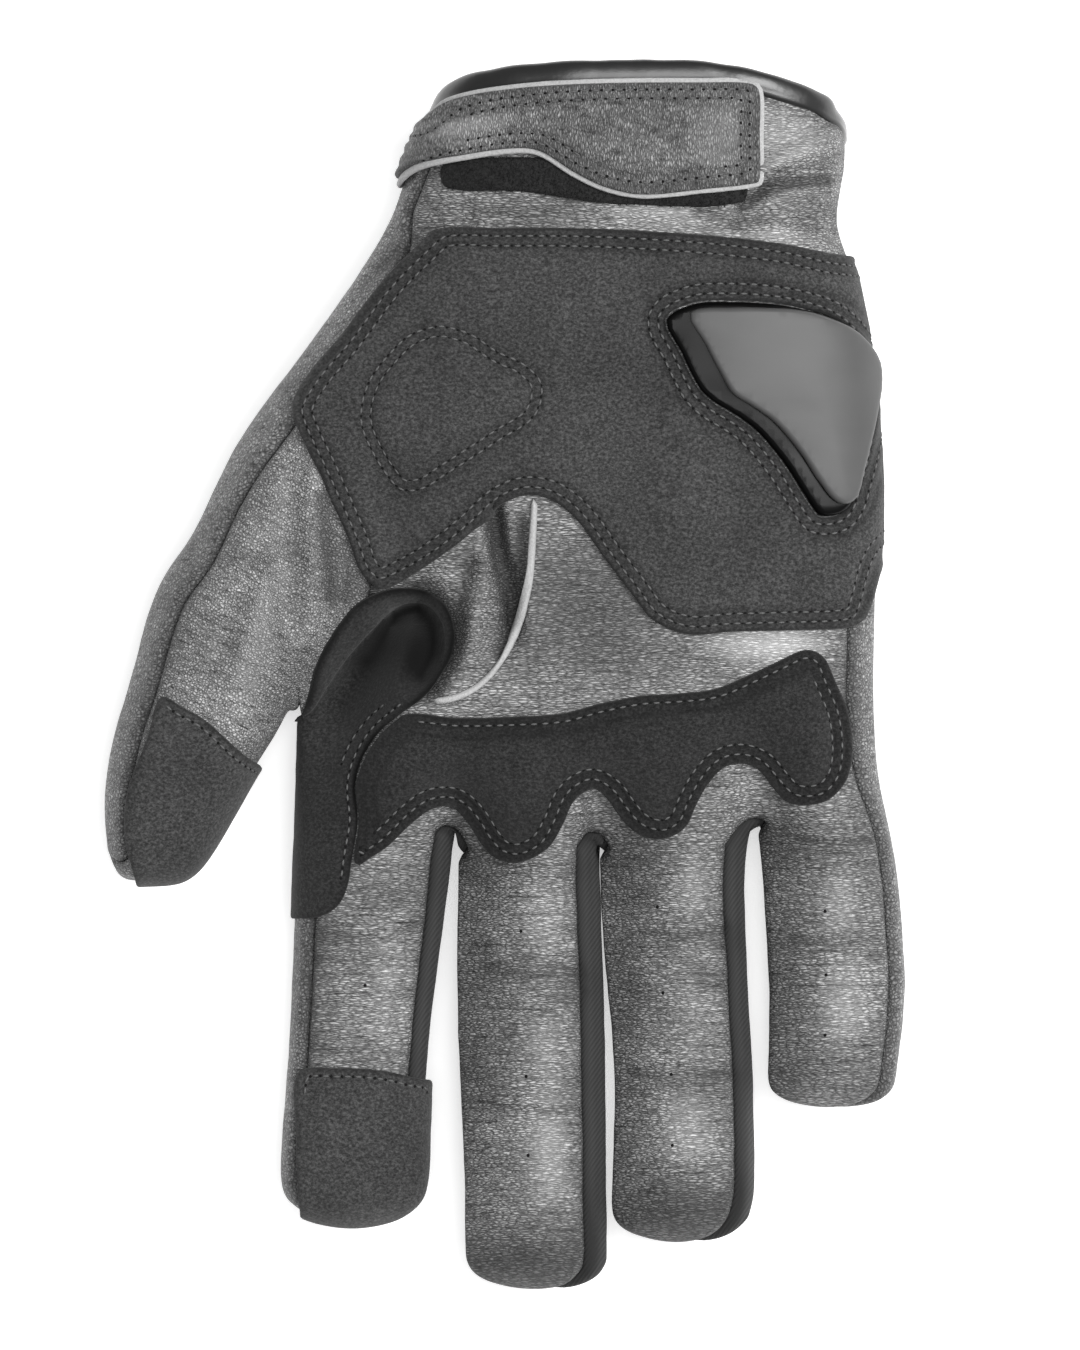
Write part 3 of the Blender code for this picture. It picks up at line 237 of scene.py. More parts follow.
# Folds in the leather: the way they run, half their width, and their depth, below 0 for a ridge
FOLDS = (
    # the pleat between the palm overlay and the knuckle overlay, beside the seam edge
    (((-2.3, 32.1), (-1.4, 24.9), (1.0, 16.1), (1.6, 9.3)), 1.5, 2.3),
    (((3.1, 29.8), (2.9, 22.0), (2.1, 12.3), (-1.0, 3.5)), 1.2, 0.9),
    (((-3.5, 22.0), (-4.9, 12.3), (-7.2, 4.5)), 2.2, -1.6),
    (((-6.8, 22.0), (-8.4, 14.2), (-8.8, 6.4)), 1.6, 0.5),
    (((0.6, 29.8), (1.0, 22.0), (1.8, 14.2)), 1.0, -0.5),
    # the shadowed valley behind the crotch overlay's rim
    (((-21.2, 11.5), (-16.5, 12.6), (-13.4, 9.1), (-13.0, 4.1), (-15.8, -1.0)), 3.0, 4.6),
    # from the end of the strap to the side of the cuff
    (((49.2, 97.4), (56.4, 100.7), (64.6, 103.9)), 2.0, -1.7),
    (((46.1, 90.4), (50.6, 93.4), (55.6, 94.9), (62.0, 95.5)), 1.1, 1.4),
    (((49.6, 94.7), (55.4, 97.4), (63.2, 99.0)), 1.4, 0.5),
    (((44.7, 86.5), (53.5, 87.7), (60.3, 86.5)), 1.2, 0.4),
    (((37.9, 89.3), (44.7, 87.7), (51.5, 88.9)), 1.4, 0.5),
    (((26.3, 89.3), (36.0, 87.3), (43.0, 87.7)), 1.6, -0.4),
    (((-6.8, 89.7), (6.8, 88.9), (18.5, 87.7)), 1.8, 0.3),
    # along the front of the thumb
    (((-39.9, 39.5), (-40.1, 22.0), (-39.9, 10.3)), 1.9, 0.4),
    (((-35.6, 33.8), (-34.2, 22.0), (-33.8, 14.2)), 1.4, 0.7),
    (((-37.5, 37.5), (-37.1, 22.0), (-37.9, 6.4)), 1.5, -0.5),
    (((-31.1, 24.9), (-30.1, 19.1), (-30.9, 14.2)), 1.2, 0.4),
    (((-47.3, 22.0), (-51.5, 10.3), (-55.0, -1.4)), 2.0, 0.3),
    # across the fingers, at their joints
    (((-3.9, -57.4), (2.9, -58.3), (9.9, -57.6), (15.0, -58.3)), 0.8, 0.45),
    (((4.9, -62.4), (10.7, -63.2), (15.4, -62.4)), 0.7, 0.35),
    (((-4.1, -64.6), (2.9, -65.5), (8.4, -64.8)), 0.9, 0.25),
    (((26.3, -50.0), (33.3, -51.2), (43.0, -49.6)), 0.8, 0.45),
    (((28.6, -52.9), (36.0, -52.1), (42.2, -52.9)), 0.7, 0.30),
    (((24.1, -77.6), (32.1, -78.6), (44.0, -77.8)), 0.8, 0.40),
    (((26.3, -80.3), (34.0, -79.5), (41.0, -80.5)), 0.8, 0.22),
    (((-35.6, -51.0), (-28.2, -51.9), (-18.5, -50.4)), 0.8, 0.35),
    (((-36.4, -55.4), (-29.8, -56.2), (-21.2, -55.0)), 0.8, 0.25),
    (((-37.9, -72.5), (-30.1, -73.3), (-18.9, -72.5)), 0.8, 0.25),
    (((56.4, -32.1), (63.2, -33.3), (70.2, -32.5)), 0.8, 0.35),
    (((55.8, -51.5), (62.4, -52.7), (71.4, -51.5)), 0.8, 0.40),
    (((57.4, -54.8), (64.4, -54.1), (71.0, -55.2)), 0.7, 0.25),
    (((56.6, -71.4), (63.2, -72.2), (70.2, -71.4)), 0.8, 0.25),
    (((-2.9, -84.6), (4.9, -85.4), (14.6, -84.6)), 0.8, 0.25),
    # along the thumb's side of the wrist
    (((-19.6, 82.3), (-23.1, 79.9), (-27.8, 74.5)), 1.2, 0.4),
    (((-16.7, 84.6), (-20.4, 81.9), (-24.3, 78.4)), 0.9, 0.35))

# The pocket in the crotch overlay, along which shade is painted, and the rim that it lies behind
CROTCH_PIT = ((-25.1, 7.6), (-20.4, 11.1), (-16.1, 11.5), (-13.4, 7.6), (-13.0, 2.5))
CROTCH_RIM = (
    (-38.7, -7.6), (-36.4, -3.3), (-33.6, 1.0), (-31.3, 4.1), (-27.0, 8.8), (-22.9, 13.0),
    (-18.9, 14.8), (-14.6, 14.2), (-11.7, 11.5), (-10.3, 6.8), (-10.9, 1.4), (-13.0, -4.5))

# Patches of the leather, partly cloudy wear and partly painted light and shade: a place, its reach along X
# and Y, and how much darker or, below 0, paler
WEAR_AND_PAINTED_SHADING = (
    # the palm between the two overlays
    ((16.5, 12.3), (18.0, 14.0), 0.75), ((26.3, 3.5), (16.0, 4.0), 0.18),
    ((10.7, 22.0), (7.0, 10.0), 0.15), ((49.6, 5.3), (12.0, 3.0), -0.75),
    ((57.4, 6.4), (7.0, 3.0), -0.20), ((66.1, -5.3), (3.0, 14.0), 0.25), ((-5.8, 8.4), (4.0, 9.0), 0.20),
    ((-9.7, 22.0), (6.0, 6.0), 0.05), ((-10.7, -3.3), (8.0, 3.0), 0.15),
    # the thumb
    ((-47.3, 17.1), (6.0, 16.0), -0.35), ((-39.9, 37.5), (5.0, 8.0), -0.40),
    ((-54.5, 2.5), (6.0, 8.0), -0.25), ((-31.1, 14.2), (4.0, 10.0), 0.25),
    ((-39.9, -3.3), (5.0, 6.0), 0.20),
    # the fingers: paler towards the little finger's side, painted light from the key softbox there; darker
    # down their other side and at the joints and the tips, painted shade
    ((-21.4, -55.8), (5.0, 10.0), -0.30), ((-21.4, -71.4), (5.5, 8.0), -0.25),
    ((-36.4, -59.7), (3.0, 20.0), 0.20), ((-26.3, -75.7), (10.0, 2.5), 0.20),
    ((-20.4, -40.3), (8.0, 5.0), 0.15), ((8.4, -48.0), (5.0, 11.0), -0.30),
    ((7.8, -71.4), (5.5, 8.0), -0.22), ((9.1, -92.8), (5.0, 15.0), -0.50),
    ((-4.9, -59.7), (3.5, 28.0), 0.32), ((4.9, -60.1), (13.0, 3.5), 0.28),
    ((4.9, -115.1), (15.0, 7.0), 1.0), ((2.9, -80.1), (12.0, 3.0), 0.12),
    ((2.9, -38.3), (12.0, 3.0), 0.25), ((37.9, -40.3), (5.0, 10.0), -0.35),
    ((37.0, -65.5), (5.0, 9.0), -0.20), ((36.0, -88.9), (5.5, 11.0), -0.42),
    ((24.7, -55.8), (4.0, 26.0), 0.35), ((36.0, -51.5), (12.0, 3.0), 0.25),
    ((36.0, -78.4), (12.0, 2.5), 0.20), ((34.0, -105.2), (14.0, 8.0), 1.0),
    ((31.7, -34.4), (10.0, 3.0), 0.25), ((65.2, -44.1), (5.0, 8.0), -0.30),
    ((66.1, -65.5), (5.5, 12.0), -0.40), ((55.4, -55.8), (4.0, 26.0), 0.45),
    ((62.2, -52.9), (12.0, 2.5), 0.22), ((62.8, -80.7), (13.0, 5.0), 0.35),
    ((61.3, -32.5), (12.0, 5.0), 0.28),
    # the wrist and the cuff
    ((56.4, 103.7), (9.0, 11.0), -0.50), ((37.9, 91.0), (14.0, 5.0), -0.25),
    ((53.5, 85.8), (9.0, 3.0), -0.30), ((26.3, 88.5), (12.0, 2.5), -0.18),
    ((-4.9, 89.1), (10.0, 3.0), -0.10), ((61.7, 95.9), (4.0, 7.0), 0.25))

# darker and paler patches on the strap's leather: a place, its reach along X and Y, and how much darker or,
# below 0, paler
STRAP_TONE_PATCHES = (
    ((12.6, 101.7), (9.0, 7.0), 0.35), ((-6.8, 103.7), (10.0, 5.0), -0.65),
    ((40.8, 102.7), (5.0, 9.0), -0.30), ((26.3, 107.6), (10.0, 6.0), 0.15),
    ((-18.5, 97.8), (4.0, 8.0), 0.45))

# Ventilation holes on the fingers, drawn as dark discs of painted shade
PERFORATIONS = (
    (62.2, -46.3), (62.4, -58.7), (62.2, -70.4), (29.6, -45.5), (30.7, -62.2), (32.3, -78.0),
    (32.5, -91.8), (3.1, -50.2), (4.1, -78.4), (4.5, -93.7), (-27.2, -60.7))

SKIN_LEVEL = 4
BINDING_SIDES = 24
BINDING_GRIP = 0.9 * MM
BAND_HEIGHT = BINDING_HEIGHT + 1.2 * MM
BAND_LIP = 0.35 * MM
# how far the cuff's edge falls away towards the little finger's side, from where and over what lengths
CUFF_FALL = 3.2 * MM
CUFF_FALL_FROM = (34 * MM, 96 * MM)
CUFF_FALL_REACH = (30 * MM, 18 * MM)
CUFF_FALL_POWER = 1.5
# the lip on each side of a fold: its place in half widths, and its height as a share of the fold's depth
LIP_PLACE = 2.1
LIP_SHARE = 0.3
# the leather's unevenness: its height in millimetres, its waves along X, Y and Z, and a place in the noise
UNEVEN = ((0.22, (14 * MM, 7 * MM, 14 * MM), 3.1), (0.10, (6 * MM, 2.6 * MM, 6 * MM), 9.7))
UNEVEN_LOW = 0.35
PALM_SIDE_FROM = 4 * MM
PALM_SIDE_REACH = 6 * MM
# the leather at a seam: how far in it turns under, and where, how wide and how high it puffs up beside it
TURN_WIDTH = 0.9 * MM
PUFF_PLACE = 2.4 * MM
PUFF_WIDTH = 1.3 * MM
PUFF_HEIGHT = 0.18 * MM
# painted shade beside a seam, where the leather turns under: how dark it is made, and how far that reaches
SEAM_SHADES = ((0.65, 2.0 * MM), (0.35, 6 * MM))
# painted shade in the creases of the folds, by how deep each point lies in one
CREASE_SHADE = 1.3
# an overlay's rounded edge and its rows of stitches: their faces, their depth, and the painted shade along
# the edge and in the grooves
EDGE_LEVELS = (0.25 * MM, 0.7 * MM)
EDGE_SHADE = 1.1
EDGE_SHADE_REACH = 0.45 * MM
GROOVE_DEPTH = 0.35 * MM
GROOVE_SHADE = 0.45
GROOVE_REACH = 0.45 * MM
GROOVE_SHADE_WIDTH = 0.8 * MM
STRAP_GROOVE_REACH = 0.4 * MM
OVERLAY_PUFF_REACH = 4 * MM
HEEL_GROOVE_DEPTH = 0.30 * MM
HEEL_GROOVE_SHADE = 0.30
HEEL_PAD_REACH = 2.2 * MM
# the pocket behind the crotch overlay's rim: its slope, how much thinner it is, and the painted shade in it
# and along the rim
RIM_SLOPE = 0.6 * MM
POCKET_THINNING = 0.45
POCKET_SHADE = 1.8
POCKET_REACH = 7.0 * MM
RIM_SHADE = 0.4
RIM_SHADE_REACH = 1.5 * MM
BINDING_ROW = 2.7 * MM
UNDERLAP = 0.1 * MM
KNUCKLE_PUFF = 0.8 * MM
RAW_EDGE_HALF_WIDTH = SEAM_EDGE_WIDTH * 0.45
STRAP_BORDER = 0.95 * MM
STRAP_ROW = 1.2 * MM
STRAP_ROW_SPACING = 0.9
STRAP_CROWN = 0.5 * MM
STRAP_CROWN_REACH = 3 * MM
STRAP_BACKING_SHARE = 0.55
STRAP_LEATHER_SHARE = 0.7
PLATE_DOME = 0.8 * MM
DOME_REACH = 5 * MM
PILE_LOOPS = 2600
PILE_LOOP = (1.1 * MM, 0.18 * MM, 0.18 * MM)
# the dark discs of painted shade for the perforations and the needle holes: their sizes
PERFORATION = 0.7 * MM
NEEDLE_HOLE = (0.62 * MM, 0.62 * MM, 0.16 * MM)
THREAD_RISE = 0.12
THREAD_FLATNESS = 0.8
ROW_TOLERANCE = 0.06 * MM
ROW_BREAK = 2.5 * MM
ROW_CLEARANCE = 0.5 * MM
BAND_BUNCHING = 0.10
BAND_BUNCHING_WAVE = 5 * MM
BAND_ROUNDNESS = 0.6
FLOOR_DROP = 0.0002
SENSOR = 36.0
FOCUS_HEIGHT = 18 * MM
# where the rows that are sewn on one side only begin and end
KNUCKLE_HIDDEN_EDGE = ((-29.0, -26.0), (-27.2, -18.0), (-24.0, -13.0), (-21.5, -10.0))
KNUCKLE_TOP_EDGE = (
    (-15.6, -8.4), (-1.0, -8.4), (10.7, -7.4), (22.4, -5.6), (34.0, -4.9), (43.8, -3.3), (51.5, -0.6),
    (59.3, 2.9))
EDGE_REACH = 4.4 * MM
CROTCH_ROW_LEFT = -32.0
CROTCH_ROW_TOP = -6.0
INDEX_TIP_ROW = -82.0
THUMB_TIP_SLANT = (0.75, -54.0, -16.0)
STRAP_SECOND_ROW_LOW = 100.0
STRAP_SECOND_ROW_LEFT = -8.0
STRAP_END = 42.0
OUTLINE_SPACING = 0.5 * MM
SNAP = 0.05 * MM
GUIDE_HEIGHT = 0.12
NO_TURN = (0.0, 0.0, 0.0)
WHITE = (1.0, 1.0, 1.0, 1.0)


# Colours and sizes that a user would change

def length_property(name, description, default, low, high):
    """A length on the glove that a user can change, given in millimetres."""
    return bpy.props.FloatProperty(
        name=name, description=description, default=default * MM, min=low * MM, max=high * MM, unit="LENGTH")


class GloveSizes(bpy.types.PropertyGroup):
    """Sizes of the seams, folds and stitches."""

    stitch_pitch: length_property("Stitch Pitch", "From one stitch to the next along a row", 2.2, 1.0, 6.0)
    stitch_length: length_property(
        "Stitch Length", "Length of thread that shows between two holes", 1.2, 0.5, 4.0)
    thread_width: length_property("Thread Width", "Thickness of the sewing thread", 0.46, 0.1, 1.0)
    row_inset: length_property(
        "First Row", "From an overlay's edge to its first row of stitches", 1.6, 0.5, 5.0)
    row_spacing: length_property("Row Spacing", "Between the two rows of a double seam", 1.9, 0.5, 5.0)
    seam_depth: length_property(
        "Seam Depth", "How far a panel's edge turns under at a sewn seam", 0.9, 0.0, 1.5)
    fold_strength: bpy.props.FloatProperty(
        name="Fold Strength", description="Depth of the leather's folds, as a share of the usual one",
        default=1.0, min=0.0, max=2.0, subtype="FACTOR")


def colour_property(name, description, shade):
    """A colour that a user can change, given as an sRGB hex value."""
    return bpy.props.FloatVectorProperty(
        name=name, description=description, default=linear(shade), size=3, min=0.0, max=1.0, subtype="COLOR")


def linear(shade):
    """The linear colour of an sRGB hex value."""
    channels = [int(shade[i:i + 2], 16) / 255.0 for i in (1, 3, 5)]
    return tuple(c / 12.92 if c <= 0.04045 else ((c + 0.055) / 1.055) ** 2.4 for c in channels)


class GloveColours(bpy.types.PropertyGroup):
    """Colours of the glove's finishes."""

    # the pale leather colour also gives the painted light on the lit side, and the crease colour the painted
    # shade
    leather: colour_property("Leather", "Worn grain leather where it is rubbed light", "#dadada")
    leather_dark: colour_property("Leather Creases", "The same leather in its creases", "#404040")
    suede: colour_property("Suede", "Suede of the palm and the tips", "#3a3a3a")
    dark_suede: colour_property("Dark Suede", "Suede at the knuckles and the crotch", "#282828")
    textile: colour_property("Textile", "Woven stretch cloth between the fingers", "#424242")
    raw_edge: colour_property("Raw Edge", "Cut edge of undyed leather", "#b2b2b2")
    thread: colour_property("Thread", "Bonded sewing thread", "#626262")
    plate: colour_property("Slider Plate", "Satin plastic of the palm slider", "#4b4b4b")


# The outer surface

def across(share):
    """X of a share of the palm width, from the palm's middle."""
    return share * PALM_WIDTH


def height_over(u, power):
    """Height of a rounded section at u, from 1 in its middle to 0 at its sides."""
    return (1.0 - min(abs(u), 1.0) ** power) ** (1.0 / power)


def finger_places():
    """X of each finger's middle at the root line, from the palm's middle."""
    index = -PALM_WIDTH / 2 + INDEX_WIDTH / 2
    middle = index + INDEX_WIDTH / 2 + INDEX_MIDDLE_GAP + MIDDLE_WIDTH / 2
    ring = middle + MIDDLE_WIDTH / 2 + MIDDLE_RING_GAP + RING_WIDTH / 2
    little = ring + RING_WIDTH / 2 + RING_LITTLE_GAP + LITTLE_WIDTH / 2
    return index, middle, ring, little


def section_height(u, up, depth, lift):
    """Z of a point of a section: on the palm side, on the back, or half way up its side."""
    half = depth / 2
    if up == 0:
        return lift + half
    power = SECTION_POWER if up > 0 else BACK_POWER
    z = lift + half + up * half * height_over(u, power)
    return z - (REST_FLATTENING if up < 0 and lift == 0 else 0.0)


class Cage:
    """The coarse net of the outer surface: its points, its faces and the panel of each face."""

    def __init__(self):
        self.points = []
        self.faces = []
        self.panels = []

    def add(self, x, y, z):
        """Adds a point and returns its number."""
        self.points.append((x, y, z))
        return len(self.points) - 1

    def face(self, corners, panel):
        """Adds a face that belongs to a panel."""
        self.faces.append(tuple(corners))
        self.panels.append(panel)

    def bridge(self, ring, next_ring, panels):
        """Faces between two rings of as many points, with a panel for each face or None."""
        count = len(ring)
        for i in range(count):
            j = (i + 1) % count
            if panels[i] is not None:
                self.face((ring[i], next_ring[i], next_ring[j], ring[j]), panels[i])


def palm_ring(cage, row, section):
    """One ring of the palm: its columns over the palm side, the right side, the back, the left side."""
    on_cuff = row < CUFF_ROW_COUNT
    width, depth = (CUFF_WIDTH, CUFF_DEPTH) if on_cuff else (PALM_WIDTH, PALM_DEPTH)
    middle = across(CUFF_SHIFT) if on_cuff else 0.0
    left, right, first = (middle + share * width for share in (section.left, section.right, section.first))
    depth *= section.depth
    centre = (left + right) / 2
    half = (right - left) / 2
    y = section.up * PALM_LENGTH

    def place(x, side):
        u = (x - centre) / half
        z = section_height(u, side, depth, 0.0)
        edge_y = y
        if row == 0:
            # the cuff is highest in the middle of the palm side and falls to its sides and its back
            rise = (z - depth / 2) / (depth / 2)
            edge_y = LEATHER_TOP - CUFF_ARCH * (1.0 - max(rise, CUFF_BACK_RISE))
        return x, edge_y, z

    columns = [first + step * (right - first) for step in PALM_STEPS]
    top = [place(x, 1) for x in columns]
    back = [place(x, -1) for x in columns]
    top[0] = (top[0][0], top[0][1], top[0][2] - section.drop * PALM_DEPTH)
    ring = [cage.add(*point) for point in top]
    ring.append(cage.add(*place(right, 0)))
    ring += [cage.add(*point) for point in reversed(back)]
    ring.append(cage.add(*place(left, 0)))
    return ring


def finger_ring(cage, middle, width, length, section, ring_shape):
    """One section of a finger: eight points, from the left seam over the palm side and round the back."""
    centre = middle + section.shift * width
    half = section.width * width / 2
    y = -section.along * length
    depth = section.depth * FINGER_DEPTH
    base = section.lift * FINGER_DEPTH
    return [cage.add(centre + u * half, y, section_height(u, up, depth, base)) for u, up in ring_shape]


def add_finger(cage, middle, width, length, sections, ring_shape, left_panel, right_panel):
    """A finger from its root ring to its closed tip. Returns the root ring."""
    sections = [FingerSection(*row) for row in sections]
    rings = [finger_ring(cage, middle, width, length, section, ring_shape) for section in sections[:-1]]
    left_front = left_panel if left_panel == SIDE else PALM
    panels = (PALM, PALM, right_panel, right_panel, BACK, BACK, left_panel, left_front)
    for ring, next_ring in zip(rings, rings[1:]):
        cage.bridge(ring, next_ring, panels)
    end = sections[-1]
    tip = cage.add(middle + end.shift * width, -end.along * length, end.lift * FINGER_DEPTH)
    last = rings[-1]
    cage.face((tip, last[1], last[0]), PALM)
    cage.face((tip, last[0], last[7]), left_front)
    cage.face((last[2], last[1], tip), PALM)
    cage.face((last[3], last[2], tip), right_panel)
    cage.face((last[4], last[3], tip, last[5]), BACK)
    cage.face((last[5], tip, last[7], last[6]), BACK)
    return rings[0]


def thumb_y(share):
    """Y of a thumb point: above the crotch with the palm length, below it with the thumb's reach."""
    return THUMB_CROTCH + share * (PALM_LENGTH if share > 0 else THUMB_REACH)


def thumb_ring(cage, outer, inner, section):
    """One section of the thumb: its columns over the palm side, the inner side, the back, the outer."""
    outer, inner = np.array(outer), np.array(inner)
    depth = section.depth * THUMB_DEPTH
    base = section.lift * THUMB_DEPTH

    def place(step, up):
        x, y = outer + step * (inner - outer)
        return cage.add(x, y, section_height(2 * step - 1, up, depth, base))

    ring = [place(step, 1) for step in THUMB_STEPS]
    ring.append(place(1.0, 0))
    ring += [place(step, -1) for step in reversed(THUMB_STEPS)]
    ring.append(place(0.0, 0))
    return ring


def add_thumb(cage, root):
    """The thumb, from the ring that the palm leaves open to its closed tip."""
    rings = [root]
    for section in (ThumbSection(*row) for row in THUMB_BASE_SECTIONS):
        inner = (across(section.inner_across), thumb_y(section.inner_up))
        outer = (across(section.outer_across), thumb_y(section.outer_up))
        rings.append(thumb_ring(cage, outer, inner, section))
    for section in (ThumbSection(*row) for row in THUMB_SECTIONS):
        inner = (across(section.inner_across), thumb_y(section.inner_up))
        way = (section.outer_across * THUMB_WIDTH, section.outer_up * THUMB_WIDTH)
        outer = (inner[0] + way[0], inner[1] + way[1])
        rings.append(thumb_ring(cage, outer, inner, section))
    count = len(THUMB_STEPS)
    panels = (THUMB,) * count + (BACK,) * count + (SIDE, SIDE)
    for ring, next_ring in zip(rings, rings[1:]):
        cage.bridge(ring, next_ring, panels)
    tip = [cage.add(across(x), thumb_y(y), THUMB_TIP_LIFT * THUMB_DEPTH) for x, y in THUMB_TIP]
    last = rings[-1]
    top = last[:count]
    middle = [last[-1]] + tip + [last[count]]
    back = last[2 * count:count:-1]
    for i in range(count - 1):
        cage.face((top[i], middle[i], middle[i + 1], top[i + 1]), THUMB)
        cage.face((middle[i], back[i], back[i + 1], middle[i + 1]), BACK)


def glove_cage():
    """The whole cage: cuff and palm rings, four fingers with the webs between them, and the thumb."""
    cage = Cage()
    places = finger_places()
    sections = [PalmSection(*row) for row in CUFF_SECTIONS + PALM_SECTIONS]
    rings = [palm_ring(cage, row, section) for row, section in enumerate(sections)]
    index = add_finger(cage, places[0], INDEX_WIDTH, INDEX_LENGTH, INDEX_SECTIONS, INDEX_RING,
                       SIDE, GUSSET_1)
    middle = add_finger(cage, places[1], MIDDLE_WIDTH, MIDDLE_LENGTH, MIDDLE_SECTIONS, MIDDLE_RING,
                        GUSSET_1, GUSSET_2)
    ring = add_finger(cage, places[2], RING_WIDTH, RING_LENGTH, RING_SECTIONS, RING_RING,
                      GUSSET_2, GUSSET_3)
    little = add_finger(cage, places[3], LITTLE_WIDTH, LITTLE_LENGTH, LITTLE_SECTIONS, LITTLE_RING,
                        GUSSET_3, SIDE)
    fingers = (index, middle, ring, little)
    for left, right, gusset in zip(fingers, fingers[1:], (GUSSET_1, GUSSET_2, GUSSET_3)):
        cage.face((left[2], left[3], right[7], right[0]), gusset)
        cage.face((left[3], left[4], right[6], right[7]), gusset)
    columns = len(PALM_STEPS)
    around = [PALM] * (columns - 1) + [SIDE, SIDE] + [BACK] * (columns - 1) + [SIDE, SIDE]
    open_side = around[:-2] + [None, None]
    for row in range(len(rings) - 1):
        on_thumb = THUMB_FIRST_ROW <= row < THUMB_LAST_ROW
        panels = open_side if on_thumb else around
        if row < len(rings) - 2:
            panels = panels[:columns - 1] + [PALM] + panels[columns:]
        cage.bridge(rings[row], rings[row + 1], panels)
    join_fingers(cage, rings[-1], fingers)
    thumb_rows = range(THUMB_FIRST_ROW, THUMB_LAST_ROW + 1)
    thumb_root = [rings[row][0] for row in thumb_rows]
    thumb_root.append(rings[THUMB_LAST_ROW][-1])
    thumb_root += [rings[row][-2] for row in reversed(thumb_rows)]
    thumb_root.append(rings[THUMB_FIRST_ROW][-1])
    add_thumb(cage, thumb_root)
    return cage


def join_fingers(cage, palm, fingers):
    """Faces from the last palm ring to the finger roots: every third column parts into two fingers."""
    columns = len(PALM_STEPS)
    back = palm[2 * columns:columns:-1]
    for i, finger in enumerate(fingers):
        a, b, c = palm[2 * i:2 * i + 3]
        cage.face((a, finger[0], finger[1], b), PALM)
        cage.face((b, finger[1], finger[2], c), PALM)
        a, b, c = back[2 * i:2 * i + 3]
        cage.face((b, finger[5], finger[6], a), BACK)
        cage.face((c, finger[4], finger[5], b), BACK)
    for i, (left, right) in enumerate(zip(fingers, fingers[1:])):
        cage.face((palm[2 * i + 2], left[2], right[0]), PALM)
        cage.face((back[2 * i + 2], right[6], left[4]), BACK)
    index, little = fingers[0], fingers[-1]
    right_side, left_side = palm[columns], palm[-1]
    cage.face((palm[columns - 1], little[2], little[3], right_side), SIDE)
    cage.face((right_side, little[3], little[4], back[-1]), SIDE)
    cage.face((back[0], index[6], index[7], left_side), SIDE)
    cage.face((left_side, index[7], index[0], palm[0]), SIDE)


def quads_of(mesh):
    """Corner numbers of a mesh of quads, as rows of an array."""
    corners = np.empty(len(mesh.loops), np.int32)
    mesh.loops.foreach_get("vertex_index", corners)
    return corners.reshape(-1, 4)


def places_of(mesh):
    """The mesh's points, as rows of an array."""
    places = np.empty(len(mesh.vertices) * 3)
    mesh.vertices.foreach_get("co", places)
    return places.reshape(-1, 3)


def smoothed(cage, points, level):
    """The cage after Subdivision Surface: points, quads and panels of the smooth surface."""
    mesh = bpy.data.meshes.new("glove_cage")
    mesh.from_pydata([tuple(p) for p in points], [], cage.faces)
    for _ in range(len(set(cage.panels))):
        mesh.materials.append(None)
    mesh.polygons.foreach_set("material_index", cage.panels)
    thing = bpy.data.objects.new("glove_cage", mesh)
    bpy.context.scene.collection.objects.link(thing)
    smooth = thing.modifiers.new("smooth", "SUBSURF")
    smooth.levels = smooth.render_levels = level
    shown = thing.evaluated_get(bpy.context.evaluated_depsgraph_get()).to_mesh()
    places, quads = places_of(shown), quads_of(shown)
    panels = np.empty(len(shown.polygons), np.int32)
    shown.polygons.foreach_get("material_index", panels)
    bpy.data.objects.remove(thing)
    bpy.data.meshes.remove(mesh)
    return places, quads, panels


def vertex_normals(points, quads):
    """Normals of the points, from the faces round them."""
    a, b, c, d = (points[quads[:, i]] for i in range(4))
    face = np.cross(c - a, d - b)
    total = np.zeros_like(points)
    for i in range(4):
        np.add.at(total, quads[:, i], face)
    return total / np.maximum(np.linalg.norm(total, axis=1), 1e-12)[:, None]


def path_distance(xy, path):
    """Distance of each point of the palm's plan to a path."""
    nearest = np.full(len(xy), 1.0)
    for start, end in zip(path[:-1], path[1:]):
        way = end - start
        along = np.clip((xy - start) @ way / max(way @ way, 1e-12), 0.0, 1.0)
        nearest = np.minimum(nearest, np.linalg.norm(xy - start - along[:, None] * way, axis=1))
    return nearest


def path_side(xy, path):
    """Distance of each point to a path, below 0 on its right."""
    nearest, side = np.full(len(xy), 1.0), np.ones(len(xy))
    for start, end in zip(path[:-1], path[1:]):
        way, rel = end - start, xy - start
        along = np.clip(rel @ way / max(way @ way, 1e-12), 0.0, 1.0)
        away = np.linalg.norm(rel - along[:, None] * way, axis=1)
        closer = away < nearest
        nearest[closer] = away[closer]
        side[closer] = np.sign(way[0] * rel[:, 1] - way[1] * rel[:, 0])[closer]
    return nearest * np.where(side < 0.0, -1.0, 1.0)


def rumple(points, sizes, seed):
    """Soft unevenness from -1 to 1, stretched to the given wave lengths along X, Y and Z."""
    scaled = points / np.array(sizes) + seed
    return np.array([noise.noise(Vector(p)) for p in scaled])


